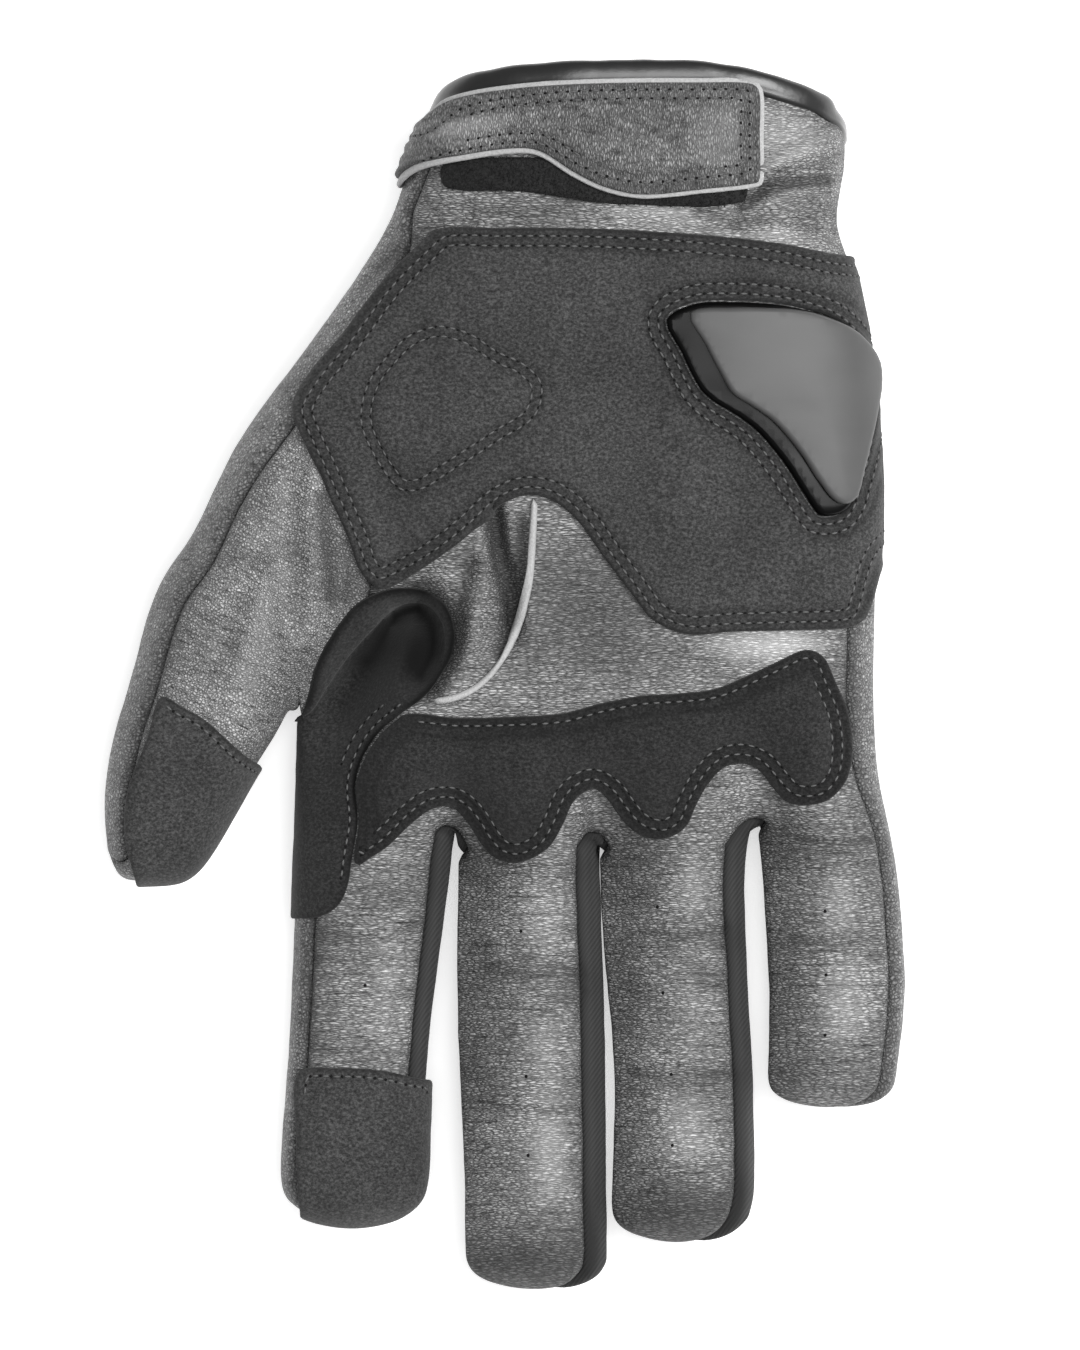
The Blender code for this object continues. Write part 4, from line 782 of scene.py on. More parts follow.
def folded(points, normals, strength):
    """The surface with its dents and folds, and how deep each point lies in a crease, from 0 to 1."""
    plain = points - FRAME_SHIFT
    facing = np.clip(normals[:, 2] * DENT_FADE + DENT_AT_SIDE, 0.0, 1.0)
    drop = np.zeros(len(points))
    for dent in (Dent(*row) for row in DENTS):
        path = np.array(((across(dent.across), dent.up * PALM_LENGTH),
                         (across(dent.to_across), dent.to_up * PALM_LENGTH)))
        away = path_distance(plain[:, :2], path)
        drop += dent.depth * PALM_DEPTH * np.exp(-(away / across(dent.half_width)) ** 2)
    crease = np.zeros(len(points))
    for path, half_width, depth in FOLDS:
        path = np.array(path) * MM
        reach = half_width * MM
        away = path_distance(points[:, :2], path)
        near = np.exp(-(away / reach) ** 2)
        lips = np.exp(-((away - LIP_PLACE * reach) / reach) ** 2)
        drop += depth * MM * strength * (near - LIP_SHARE * lips)
        crease += max(depth, 0.0) * near
    result = points.copy()
    result[:, 2] -= drop * facing
    on_palm = facing * np.clip((points[:, 2] - PALM_SIDE_FROM) / PALM_SIDE_REACH, 0.0, 1.0)
    uneven = sum(height * rumple(points, waves, seed) for height, waves, seed in UNEVEN)
    result += normals * (uneven * MM * strength * (UNEVEN_LOW + (1.0 - UNEVEN_LOW) * on_palm))[:, None]
    result[:, 2] = np.maximum(result[:, 2], 0.0)
    return result, np.clip(crease * facing, 0.0, 1.0)


class Skin:
    """The smooth outer surface that every panel and overlay is cut from."""

    def __init__(self, strength):
        cage = glove_cage()
        used = sorted({corner for face in cage.faces for corner in face})
        number = {old: new for new, old in enumerate(used)}
        cage.faces = [tuple(number[corner] for corner in face) for face in cage.faces]
        target = np.array([cage.points[old] for old in used]) + FRAME_SHIFT
        points = target.copy()
        for _ in range(SMOOTH_ROUNDS):
            points += target - smoothed(cage, points, 1)[0][:len(target)]
        points, self.quads, self.panels = smoothed(cage, points, SKIN_LEVEL)
        fall_x, fall_y = np.clip((points[:, :2] - CUFF_FALL_FROM) / CUFF_FALL_REACH, 0.0, 1.0).T
        points[:, 1] -= CUFF_FALL * (fall_x ** CUFF_FALL_POWER * fall_y)
        normals = vertex_normals(points, self.quads)
        self.plain_points, self.plain_normals = points, normals
        self.points, self.crease = folded(points, normals, strength)
        self.normals = vertex_normals(self.points, self.quads)

    def part(self, panels):
        """Numbers of the points and the renumbered quads of some panels."""
        quads = self.quads[np.isin(self.panels, panels)]
        used, inverse = np.unique(quads, return_inverse=True)
        return used, inverse.reshape(-1, 4)


def border_edges(quads, count):
    """Directed edges that only one face has."""
    a, b = quads.ravel(), np.roll(quads, -1, axis=1).ravel()
    single = ~np.isin(a.astype(np.int64) * count + b, b.astype(np.int64) * count + a)
    return a[single], b[single]


# Outlines

def plan(outline):
    """A smooth closed curve through an outline given in shares, in the frame."""
    return closed_curve([(across(x), y * PALM_LENGTH) for x, y in outline]) + FRAME_SHIFT[:2]


def closed_curve(knots):
    """Points every half millimetre on a smooth closed curve through the knots."""
    knots = np.array(knots)
    p0, p1, p2, p3 = (np.roll(knots, shift, axis=0) for shift in (1, 0, -1, -2))
    rows = []
    for a, b, c, d in zip(p0, p1, p2, p3):
        steps = max(1, int(np.linalg.norm(c - b) / OUTLINE_SPACING))
        for t in np.arange(steps) / steps:
            # tangents follow the shorter neighbour, so that a corner doesn't swing out
            reach = np.linalg.norm(c - b)
            start = (c - a) * reach / max(np.linalg.norm(c - b) + np.linalg.norm(b - a), 1e-9)
            end = (d - b) * reach / max(np.linalg.norm(c - b) + np.linalg.norm(d - c), 1e-9)
            h = 2 * t ** 3 - 3 * t ** 2 + 1
            rows.append(h * b + (t ** 3 - 2 * t ** 2 + t) * start + (1 - h) * c + (t ** 3 - t ** 2) * end)
    return np.array(rows)


def inside_depth(xy, curve):
    """How far each point lies inside a closed curve, below 0 outside."""
    nearest = np.full(len(xy), 1.0)
    crossings = np.zeros(len(xy), bool)
    for (x0, y0), (x1, y1) in zip(curve, np.roll(curve, -1, axis=0)):
        way = np.array((x1 - x0, y1 - y0))
        rel = xy - (x0, y0)
        along = np.clip(rel @ way / max(way @ way, 1e-15), 0.0, 1.0)
        nearest = np.minimum(nearest, np.sum((rel - along[:, None] * way) ** 2, axis=1))
        spans = (y0 > xy[:, 1]) != (y1 > xy[:, 1])
        if spans.any():
            side = x0 + (xy[:, 1] - y0) * (x1 - x0) / (y1 - y0 if y1 != y0 else 1e-12)
            crossings ^= spans & (xy[:, 0] < side)
    return np.where(crossings, 1.0, -1.0) * np.sqrt(nearest)


# Walls and patches

def make_object(name, points, faces, tones=None):
    """A smooth-shaded object from points and faces, with a shade value on each point if given."""
    mesh = bpy.data.meshes.new(name)
    mesh.from_pydata(points.tolist() if hasattr(points, "tolist") else points, [],
                     faces.tolist() if hasattr(faces, "tolist") else faces)
    mesh.validate()
    if tones is not None:
        tone = mesh.attributes.new("tone", "FLOAT", "POINT")
        tone.data.foreach_set("value", np.asarray(tones, np.float32))
    mesh.shade_smooth()
    thing = bpy.data.objects.new(name, mesh)
    bpy.context.scene.collection.objects.link(thing)
    return thing


def seam_moves(points, normals, start, end, distance):
    """How far each border point moves into its panel at a seam."""
    way = points[end] - points[start]
    side = np.cross(normals[start] + normals[end], way)
    side /= np.maximum(np.linalg.norm(side, axis=1), 1e-12)[:, None]
    total = np.zeros_like(points)
    for corner in (start, end):
        np.add.at(total, corner, side)
    length = np.linalg.norm(total, axis=1)
    on_border = length > 0
    moves = np.zeros_like(points)
    moves[on_border] = distance * total[on_border] / np.maximum(length[on_border], 0.7)[:, None]
    return moves


def tone_patches(points, places):
    """How much darker, above 0, or paler, below 0, a table of soft patches makes each point."""
    total = np.zeros(len(points))
    for (x, y), (reach_x, reach_y), amount in places:
        away = ((points[:, 0] / MM - x) / reach_x) ** 2 + ((points[:, 1] / MM - y) / reach_y) ** 2
        total += amount * np.exp(-away)
    return total


def wall(name, skin, panels, sizes):
    """A leather panel with its wall: its edges turn under at the seams."""
    used, quads = skin.part(panels)
    points, normals = skin.points[used], skin.normals[used]
    start, end = border_edges(quads, len(used))
    tree = KDTree(len(start))
    for i, corner in enumerate(start):
        tree.insert(points[corner], i)
    tree.balance()
    seam = np.array([tree.find(p)[2] for p in points])
    turned = np.exp(-(seam / TURN_WIDTH) ** 2)
    puffed = np.exp(-((seam - PUFF_PLACE) / PUFF_WIDTH) ** 2)
    lift = PUFF_HEIGHT * puffed - sizes.seam_depth * turned
    moved = points + seam_moves(points, normals, start, end, CLEARANCE / 2)
    outer = moved + normals * lift[:, None]
    # on the inside neighbouring panels meet, so that no light comes through a seam
    inner = points - normals * LEATHER
    outer[:, 2] = np.maximum(outer[:, 2], 0.0)
    count = len(used)
    rim = np.column_stack((end, start, start + count, end + count))
    faces = np.vstack((quads, quads[:, ::-1] + count, rim))
    # painted shade beside the seams and in the creases, with the table's wear and painted shading
    tones = sum(shade * np.exp(-seam / reach) for shade, reach in SEAM_SHADES)
    tones = np.clip(tones + CREASE_SHADE * skin.crease[used] + tone_patches(points, WEAR_AND_PAINTED_SHADING), -1.0, 1.0)
    return make_object(name, np.vstack((outer, inner)), faces, np.concatenate((tones, tones)))


class Patch:
    """A part of the skin's palm side, cut to a field that is above 0 inside it."""

    def __init__(self, skin, curve, low, margin=3 * MM, plain=False):
        quads = skin.quads[np.isin(skin.panels, PALM_SIDE)]
        box_low, box_high = curve.min(axis=0) - margin, curve.max(axis=0) + margin
        places, normals = (skin.plain_points, skin.plain_normals) if plain else (skin.points, skin.normals)
        near = np.all((places[:, :2] > box_low) & (places[:, :2] < box_high), axis=1)
        near &= places[:, 2] > low - margin
        quads = quads[np.all(near[quads], axis=1)]
        used, inverse = np.unique(quads, return_inverse=True)
        self.rows = np.hstack((places[used], normals[used]))
        self.faces = [tuple(face) for face in inverse.reshape(-1, 4)]
        self.names = {}
        self.channel("depth", np.minimum(self.depth_in(curve), self.rows[:, 2] - low))

    def depth_in(self, curve):
        """How far each point lies inside a closed curve, below 0 outside."""
        return inside_depth(self.rows[:, :2], curve)

    def channel(self, name, values):
        """Adds or replaces a value on each point, which a split carries on to the new points."""
        if name in self.names:
            self.rows[:, self.names[name]] = values
        else:
            self.names[name] = self.rows.shape[1]
            self.rows = np.hstack((self.rows, values[:, None]))

    def value(self, name):
        """A channel's value on each point."""
        return self.rows[:, self.names[name]]

    def leave_out(self, curve, gap=CLEARANCE):
        """Keeps the patch clear of another outline."""
        self.channel("depth", np.minimum(self.value("depth"), -self.depth_in(curve) - gap))

    def split(self, name, level, keep_below=True):
        """Cuts the faces along a level of a channel, and drops what lies below it unless that stays."""
        column = self.names[name]
        values = self.rows[:, column] - level
        values[np.abs(values) < SNAP] = 0.0
        faces, fresh, numbers = [], [], {}
        for face in self.faces:
            held = [values[corner] for corner in face]
            if min(held) >= 0.0:
                faces.append(face)
                continue
            if max(held) <= 0.0:
                if keep_below:
                    faces.append(face)
                continue
            above, below = [], []
            for i, a in enumerate(face):
                b = face[(i + 1) % len(face)]
                if values[a] >= 0.0:
                    above.append(a)
                if values[a] <= 0.0:
                    below.append(a)
                if values[a] * values[b] < 0.0:
                    edge = (min(a, b), max(a, b))
                    if edge not in numbers:
                        share = values[edge[0]] / (values[edge[0]] - values[edge[1]])
                        row = self.rows[edge[0]] * (1 - share) + self.rows[edge[1]] * share
                        row[column] = level
                        numbers[edge] = len(self.rows) + len(fresh)
                        fresh.append(row)
                    above.append(numbers[edge])
                    below.append(numbers[edge])
            if len(above) > 2:
                faces.append(tuple(above))
            if keep_below and len(below) > 2:
                faces.append(tuple(below))
        if fresh:
            self.rows = np.vstack((self.rows, fresh))
        self.faces = faces

    def solid(self, name, low, high, tones=None):
        """A closed piece between two heights over the skin, each one number or one for each point."""
        used = sorted({corner for face in self.faces for corner in face})
        number = {old: new for new, old in enumerate(used)}
        faces = [tuple(number[corner] for corner in face) for face in self.faces]
        rows = self.rows[used]
        normals = rows[:, 3:6] / np.linalg.norm(rows[:, 3:6], axis=1)[:, None]
        low = np.broadcast_to(low, len(self.rows))[used]
        high = np.broadcast_to(high, len(self.rows))[used]
        outer = rows[:, :3] + normals * high[:, None]
        inner = rows[:, :3] + normals * low[:, None]
        count = len(used)
        edges = {(face[i], face[(i + 1) % len(face)]) for face in faces for i in range(len(face))}
        rim = [(b, a, a + count, b + count) for a, b in edges if (b, a) not in edges]
        under = [tuple(corner + count for corner in reversed(face)) for face in faces]
        if tones is not None:
            tones = np.concatenate((tones[used], tones[used]))
        thing = make_object(name, np.vstack((outer, inner)), faces + under + rim, tones)
        self.tree = BVHTree.FromPolygons(outer.tolist(), faces)
        return thing


def rounded(depth, radius):
    """Height of a rounded edge, from 0 at the outline to 1 a radius inside it."""
    way = np.clip(depth / radius, 0.0, 1.0)
    return np.sqrt(np.clip(1.0 - (1.0 - way) ** 2, 0.0, 1.0))


def edged(depth, radius, share):
    """Height of a rounded edge that starts at a share of the full thickness."""
    return share + (1.0 - share) * rounded(depth, radius)


def swell(depth, reach):
    """A soft rise, from 0 at the outline to nearly 1 a few reaches inside it."""
    return 1.0 - np.exp(-np.clip(depth, 0.0, 1.0) / reach)


def groove(depth, line, half_width=0.55 * MM):
    """1 on a line at some depth, and 0 away from it."""
    return np.exp(-((depth - line) / half_width) ** 2)


# Stitching

def capsule(sides=6):
    """Points and faces of one stitch: unit length along X and unit diameter."""
    rings = ((-0.42, 0.6), (0.0, 1.0), (0.42, 0.6))
    points = [(-0.5, 0.0, 0.0)]
    for x, wide in rings:
        points += [(x, wide * math.cos(a) / 2, wide * math.sin(a) / 2)
                   for a in (2 * math.pi * i / sides for i in range(sides))]
    points.append((0.5, 0.0, 0.0))
    faces = [(0, 1 + (i + 1) % sides, 1 + i) for i in range(sides)]
    for ring in range(len(rings) - 1):
        base = 1 + ring * sides
        for i in range(sides):
            j = (i + 1) % sides
            faces.append((base + i, base + j, base + sides + j, base + sides + i))
    base = 1 + (len(rings) - 1) * sides
    last = len(points) - 1
    faces += [(base + i, base + (i + 1) % sides, last) for i in range(sides)]
    return np.array(points), faces


class Scatter:
    """Many copies of one small shape, gathered into one mesh."""

    def __init__(self, shape):
        self.shape, self.shape_faces = shape
        self.points, self.faces = [], []

    def add(self, place, along, up, size):
        """Adds one copy: its place, the ways of its length and its height, and its size."""
        along = Vector(along).normalized()
        side = Vector(up).cross(along).normalized()
        up = along.cross(side)
        turn = np.array((along, side, up))
        first = len(self.points) * len(self.shape)
        self.points.append(self.shape * np.array(size) @ turn + np.array(place))
        self.faces += [tuple(first + corner for corner in face) for face in self.shape_faces]

    def finish(self, name):
        """Makes the object of all the copies."""
        return make_object(name, np.vstack(self.points), self.faces)


def row_paths(curve, inset, keep):
    """Runs of points at an inset from a closed curve, where keep says that the row goes on."""
    way = np.roll(curve, -1, axis=0) - np.roll(curve, 1, axis=0)
    way /= np.maximum(np.linalg.norm(way, axis=1), 1e-12)[:, None]
    area = np.sum(curve[:, 0] * np.roll(curve[:, 1], -1) - np.roll(curve[:, 0], -1) * curve[:, 1])
    inward = np.column_stack((-way[:, 1], way[:, 0])) * np.sign(area)
    points = curve + inward * inset
    good = np.abs(inside_depth(points, curve) - inset) < ROW_TOLERANCE
    good &= keep(points)
    if good.all():
        return [np.vstack((points, points[:1]))]
    first = int(np.argmin(good))
    points, good = np.roll(points, -first, axis=0), np.roll(good, -first)
    runs, run = [], []
    for point, is_good in zip(points, good):
        if is_good:
            if run and np.linalg.norm(point - run[-1]) > ROW_BREAK:
                runs.append(np.array(run))
                run = []
            run.append(point)
    runs.append(np.array(run))
    return [r for r in runs if len(r) > 3]


def dropped(tree, x, y):
    """Place and normal of a surface straight below a point of the plan, or None for both."""
    return tree.ray_cast(Vector((x, y, GUIDE_HEIGHT)), Vector((0, 0, -1)))[:2]


def sew(threads, holes, tree, path, sizes):
    """Stitches along a path in plan, on a surface below it, with a dark disc of painted shade for a needle
    hole between each two.
    """
    hits = [(place, normal) for place, normal in (dropped(tree, x, y) for x, y in path) if place is not None]
    if len(hits) < 3:
        return
    places = np.array([tuple(p) for p, _ in hits])
    normals = np.array([tuple(n) for _, n in hits])
    length = np.concatenate(([0.0], np.cumsum(np.linalg.norm(np.diff(places, axis=0), axis=1))))
    count = max(1, int(round(length[-1] / sizes.stitch_pitch)))
    at = (np.arange(count * 2) + 0.5) * length[-1] / (count * 2)
    spots = np.column_stack([np.interp(at, length, places[:, k]) for k in range(3)])
    ups = np.column_stack([np.interp(at, length, normals[:, k]) for k in range(3)])
    ways = np.gradient(spots, axis=0)
    width = sizes.thread_width
    for i in range(0, count * 2, 2):
        up = ups[i] / np.linalg.norm(ups[i])
        threads.add(spots[i] + up * (width * THREAD_RISE), ways[i], up,
                    (sizes.stitch_length, width, width * THREAD_FLATNESS))
        up = ups[i + 1] / np.linalg.norm(ups[i + 1])
        holes.add(spots[i + 1], ways[i + 1], up, NEEDLE_HOLE)


# Materials

def node(tree, kind, inputs=None, **settings):
    """Adds a node with its settings. An input is a value, or the output socket that it is linked to."""
    made = tree.nodes.new(kind)
    for key, value in settings.items():
        setattr(made, key, value)
    for key, value in (inputs or {}).items():
        if isinstance(value, bpy.types.NodeSocket):
            tree.links.new(value, made.inputs[key])
        else:
            made.inputs[key].default_value = value
    return made


def ramp(tree, factor, stops):
    """A colour ramp with stops given as place and grey level."""
    made = node(tree, "ShaderNodeValToRGB", {"Fac": factor})
    elements = made.color_ramp.elements
    while len(elements) < len(stops):
        elements.new(0.5)
    for element, (place, grey) in zip(elements, stops):
        element.position = place
        element.color = (grey, grey, grey, 1.0)
    return made.outputs["Color"]


def new_material(name, **uniform):
    """Node tree and shader of a new material, with the uniform numbers set on the shader itself."""
    material = bpy.data.materials.new(name)
    material.use_nodes = True
    shader = material.node_tree.nodes["Principled BSDF"]
    for key, value in uniform.items():
        shader.inputs[key.replace("_", " ").title().replace("Ior", "IOR")].default_value = value
    return material.node_tree, shader


def coordinates(tree, scale, rotation=NO_TURN):
    """Object coordinates, turned and then scaled to patterns per metre."""
    place = node(tree, "ShaderNodeTexCoord").outputs["Object"]
    if any(rotation):
        place = node(tree, "ShaderNodeMapping", {"Vector": place, "Rotation": rotation}).outputs[0]
    return node(tree, "ShaderNodeMapping", {"Vector": place, "Scale": scale}).outputs[0]


def mixed(tree, factor, a, b, mode="MIX"):
    """Mix of two colours."""
    made = node(tree, "ShaderNodeMix", data_type="RGBA", blend_type=mode)
    for index, value in ((0, factor), (6, a), (7, b)):
        if isinstance(value, bpy.types.NodeSocket):
            tree.links.new(value, made.inputs[index])
        else:
            made.inputs[index].default_value = (*value, 1.0) if hasattr(value, "__len__") else value
    return made.outputs[2]


def multiplied(tree, a, b):
    """Product of two colours."""
    return mixed(tree, 1.0, a, b, "MULTIPLY")


def scaled(colour, factor):
    """A colour made darker or lighter by a factor."""
    return tuple(c * factor for c in colour)


def speckle(tree, per_metre, detail, roughness=0.5, distortion=0.0, rotation=NO_TURN):
    """A noise pattern with so many patches per metre along X, Y and Z."""
    return node(tree, "ShaderNodeTexNoise", {
        "Vector": coordinates(tree, per_metre, rotation), "Scale": 1.0, "Detail": detail,
        "Roughness": roughness, "Distortion": distortion}).outputs["Fac"]


def tone_of(tree):
    """The tone that the piece's mesh carries: painted shade above 0, with some wear, and paler below 0, from
    wear and painted light.
    """
    return node(tree, "ShaderNodeAttribute", attribute_name="tone").outputs["Fac"]


def surface(tree, shader, colour, height, strength, distance):
    """Gives a shader its colour, and a bump of a pattern's height."""
    tree.links.new(colour, shader.inputs["Base Color"])
    bump = node(tree, "ShaderNodeBump", {"Strength": strength, "Distance": distance, "Height": height})
    tree.links.new(bump.outputs[0], shader.inputs["Normal"])


def leather_material(name, light, dark, grain, rotation=NO_TURN):
    """Full-grain leather, drum-dyed and rubbed pale on its highs.

    The eye sees a fine net of creases round flat pebbles, cloudy wear, and the tone that the mesh carries:
    painted shade at the turned edges, in the creases and down the shaded side of each finger, and painted
    light and rubbed wear where it is paler. grain is the size of a pebble along the leather's own X, Y and Z.
    The real grain is finer than the render can show, so it is drawn at about twice its size.
    """
    tree, shader = new_material(name, roughness=0.58, specular_ior_level=0.38)
    place = coordinates(tree, tuple(1.0 / size for size in grain), rotation)
    stir = node(tree, "ShaderNodeTexNoise", {"Vector": place, "Scale": 0.45, "Detail": 2.0}).outputs["Color"]
    stirred = node(tree, "ShaderNodeVectorMath", {0: place, 1: stir}, operation="ADD").outputs[0]
    cells = node(tree, "ShaderNodeTexVoronoi", {"Vector": stirred, "Scale": 1.0},
                 feature="DISTANCE_TO_EDGE").outputs["Distance"]
    pebble = ramp(tree, cells, ((0.02, 0.0), (0.32, 1.0)))
    fine = node(tree, "ShaderNodeTexNoise", {"Vector": place, "Scale": 1.3, "Detail": 3.0,
                                             "Roughness": 0.7}).outputs["Fac"]
    fine_shade = ramp(tree, fine, ((0.36, 0.2), (0.56, 1.0)))
    grain_shade = multiplied(tree, mixed(tree, 0.2, pebble, WHITE[:3]), fine_shade)
    cloud = ramp(tree, speckle(tree, (60.0, 75.0, 60.0), 5.0, 0.62), ((0.34, 0.0), (0.66, 1.0)))
    middle = tuple((a + b) / 2 for a, b in zip(light, dark))
    base = mixed(tree, grain_shade, scaled(dark, 0.4), mixed(tree, cloud, middle, light))
    creases = speckle(tree, (0.16 / grain[0], 0.75 / grain[1], 0.2 / grain[2]), 3.0, 0.6, 0.4, rotation)
    lines = ramp(tree, creases, ((0.30, 0.25), (0.40, 0.85), (0.50, 1.0), (0.64, 1.25)))
    base = multiplied(tree, base, lines)
    # painted shade: above 0 the tone takes the colour to the dark leather, grain and all
    tone = tone_of(tree)
    shaded = mixed(tree, grain_shade, scaled(dark, 0.3), scaled(dark, 3.2))
    depth = node(tree, "ShaderNodeMath", {0: tone, 1: 0.0}, operation="MAXIMUM").outputs[0]
    base = mixed(tree, depth, base, shaded)
    # below 0 the tone makes the colour paler: rubbed wear, and painted light on the side towards the key
    # softbox
    paler_share = node(tree, "ShaderNodeMath", {0: tone, 1: -1.0}, operation="MULTIPLY", use_clamp=True).outputs[0]
    base = mixed(tree, paler_share, base, mixed(tree, grain_shade, middle, scaled(light, 1.25)))
    height = node(tree, "ShaderNodeMath", {0: pebble, 1: fine, 2: creases},
                  operation="MULTIPLY_ADD").outputs[0]
    surface(tree, shader, base, height, 0.8, 0.5 * MM)


def suede_material(name, colour):
    """Brushed suede: a matte, short nap whose fibres lie in cloudy patches, with pale specks painted into its
    colour for the light that the fibres catch.
    """
    tree, shader = new_material(name, roughness=0.95, specular_ior_level=0.12,
                                sheen_weight=0.10, sheen_roughness=0.6)
    fibre = speckle(tree, (1500.0, 1900.0, 1500.0), 3.0, 0.75)
    nap = speckle(tree, (90.0, 60.0, 90.0), 4.0)
    base = multiplied(tree, ramp(tree, fibre, ((0.34, 0.35), (0.5, 0.9), (0.68, 2.0))),
                      ramp(tree, nap, ((0.30, 0.82), (0.70, 1.15))))
    # painted shade: the tone takes the colour down to a tenth along the edges, in the grooves and in the
    # crotch's pocket
    base = mixed(tree, tone_of(tree), multiplied(tree, base, colour), scaled(colour, 0.1))
    surface(tree, shader, base, fibre, 0.5, 0.25 * MM)


def textile_material(name, colour):
    """Woven stretch nylon: fine twill ribs, drawn 0.7 mm apart, dull, with a faint glint painted into the
    colour on each rib.
    """
    tree, shader = new_material(name, roughness=0.82, specular_ior_level=0.3)
    place = coordinates(tree, (1.0, 1.0, 1.0), (0.0, 0.0, math.radians(35)))
    ribs = node(tree, "ShaderNodeTexWave", {"Vector": place, "Scale": 460.0, "Distortion": 0.6, "Detail": 2.0,
                                            "Detail Scale": 2.0}, bands_direction="X").outputs["Fac"]
    base = multiplied(tree, ramp(tree, ribs, ((0.0, 0.7), (1.0, 1.15))), colour)
    # painted shade: the tone takes the colour down to three tenths beside the seams and in the creases
    surface(tree, shader, mixed(tree, tone_of(tree), base, scaled(colour, 0.3)), ribs, 0.5, 0.2 * MM)


def fibrous_material(name, colour, low, high, size):
    """Cut or piled fibres in one colour: the raw edge of leather, sewing thread, or hook-and-loop pile."""
    tree, shader = new_material(name, roughness=0.88, specular_ior_level=0.2)
    fibre = speckle(tree, (1.0 / size, 1.0 / size, 1.0 / size), 4.0, 0.7)
    base = multiplied(tree, ramp(tree, fibre, ((0.3, low), (0.7, high))), colour)
    surface(tree, shader, base, fibre, 0.6, 0.3 * MM)


def moulded_material(name, colour, roughness, texture, specular):
    """Injection-moulded TPU or ABS: even colour, the mould's fine texture, and faint rub marks."""
    tree, shader = new_material(name, roughness=roughness, specular_ior_level=specular)
    rub = speckle(tree, (45.0, 110.0, 45.0), 5.0)
    base = multiplied(tree, ramp(tree, rub, ((0.3, 0.93), (0.7, 1.06))), colour)
    surface(tree, shader, base, speckle(tree, (700.0, 700.0, 700.0), 3.0), texture, 0.05 * MM)


def rolled_leather_material(name, colour):
    """Thin calf leather rolled over the edge and polished by wear: dark, with long soft highlights."""
    tree, shader = new_material(name, roughness=0.34, specular_ior_level=0.6, coat_weight=0.25,
                                coat_roughness=0.3)
    grain = speckle(tree, (900.0, 900.0, 900.0), 4.0)
    base = multiplied(tree, ramp(tree, grain, ((0.3, 0.7), (0.7, 1.25))), colour)
    surface(tree, shader, base, grain, 0.35, 0.15 * MM)


# The pieces

SHARED = {}


def skin():
    """The glove's skin, made once."""
    if "skin" not in SHARED:
        SHARED["skin"] = Skin(bpy.context.scene.glove_sizes.fold_strength)
    return SHARED["skin"]


def dress(piece, material, slot, *nodes):
    """Gives a piece its material and its place in the model."""
    piece.data.materials.append(material)
    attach(piece, "root")
    if nodes:
        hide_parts(*nodes)
    return piece


def material_named(name):
    """The glove's material of that name, made when it is first asked for."""
    colours = bpy.context.scene.glove_colours
    light, dark = tuple(colours.leather), tuple(colours.leather_dark)
    makers = {
        # creases run across the fingers and the palm
        "grain_leather": lambda n: leather_material(n, light, dark, (1.8 * MM, 0.42 * MM, 1.1 * MM)),
        "thumb_leather": lambda n: leather_material(
            n, light, dark, (0.66 * MM, 0.52 * MM, 0.66 * MM), (0.0, 0.0, math.radians(25))),
        "back_grain_leather": lambda n: leather_material(
            n, scaled(light, 0.8), dark, (0.8 * MM, 0.7 * MM, 0.8 * MM)),
        "strap_leather": lambda n: leather_material(
            n, scaled(light, 0.6), scaled(dark, 0.8), (0.40 * MM, 1.2 * MM, 0.9 * MM)),
        "brushed_suede": lambda n: suede_material(n, tuple(colours.suede)),
        "dark_brushed_suede": lambda n: suede_material(n, tuple(colours.dark_suede)),
        "stretch_textile": lambda n: textile_material(n, tuple(colours.textile)),
        "raw_leather_edge": lambda n: fibrous_material(n, tuple(colours.raw_edge), 0.72, 1.1, 0.5 * MM),
        "sewing_thread": lambda n: fibrous_material(n, tuple(colours.thread), 0.6, 1.25, 0.3 * MM),
        # dark discs of painted shade for the needle holes and the perforations
        "needle_hole": lambda n: fibrous_material(n, linear("#101010"), 0.7, 1.1, 0.4 * MM),
        "loop_pile": lambda n: fibrous_material(n, linear("#262626"), 0.3, 1.5, 0.45 * MM),
        "gloss_tpu": lambda n: moulded_material(n, linear("#060606"), 0.3, 0.05, 0.12),
        "satin_plastic": lambda n: moulded_material(n, tuple(colours.plate), 0.5, 0.25, 0.4),
        "rolled_leather": lambda n: rolled_leather_material(n, linear("#0e0e0e")),
    }
    if name not in bpy.data.materials:
        makers[name](name)
    return bpy.data.materials[name]


class GLOVE_OT_shell(bpy.types.Operator):
    """Makes the sewn shell: palm, thumb and back leather, and the textile between the fingers"""

    bl_idname = "glove.shell"
    bl_label = "Shell"

    def execute(self, context):
        sizes = context.scene.glove_sizes
        for name, panels, material, slot, cad in (
                ("palm_leather", (PALM,), "grain_leather", "leather", "palm_panel"),
                ("thumb_leather", (THUMB,), "thumb_leather", "leather", "thumb_panel"),
                ("back_leather", (SIDE, BACK), "back_grain_leather", "back_leather", "back_panel"),
                ("index_middle_gusset", (GUSSET_1,), "stretch_textile", "textile", "gusset_index_middle"),
                ("middle_ring_gusset", (GUSSET_2,), "stretch_textile", "textile", "gusset_middle_ring"),
                ("ring_little_gusset", (GUSSET_3,), "stretch_textile", "textile", "gusset_ring_little")):
            dress(wall(name, skin(), panels, sizes), material_named(material), slot, cad)
        return {"FINISHED"}


def split_rows(patch, lines, reach):
    """Cuts the faces along a patch's rounded edge, and along each row of stitches and both its sides."""
    for level in EDGE_LEVELS + tuple(line + way * reach for line in lines for way in (-1, 0, 1)):
        patch.split("depth", level)


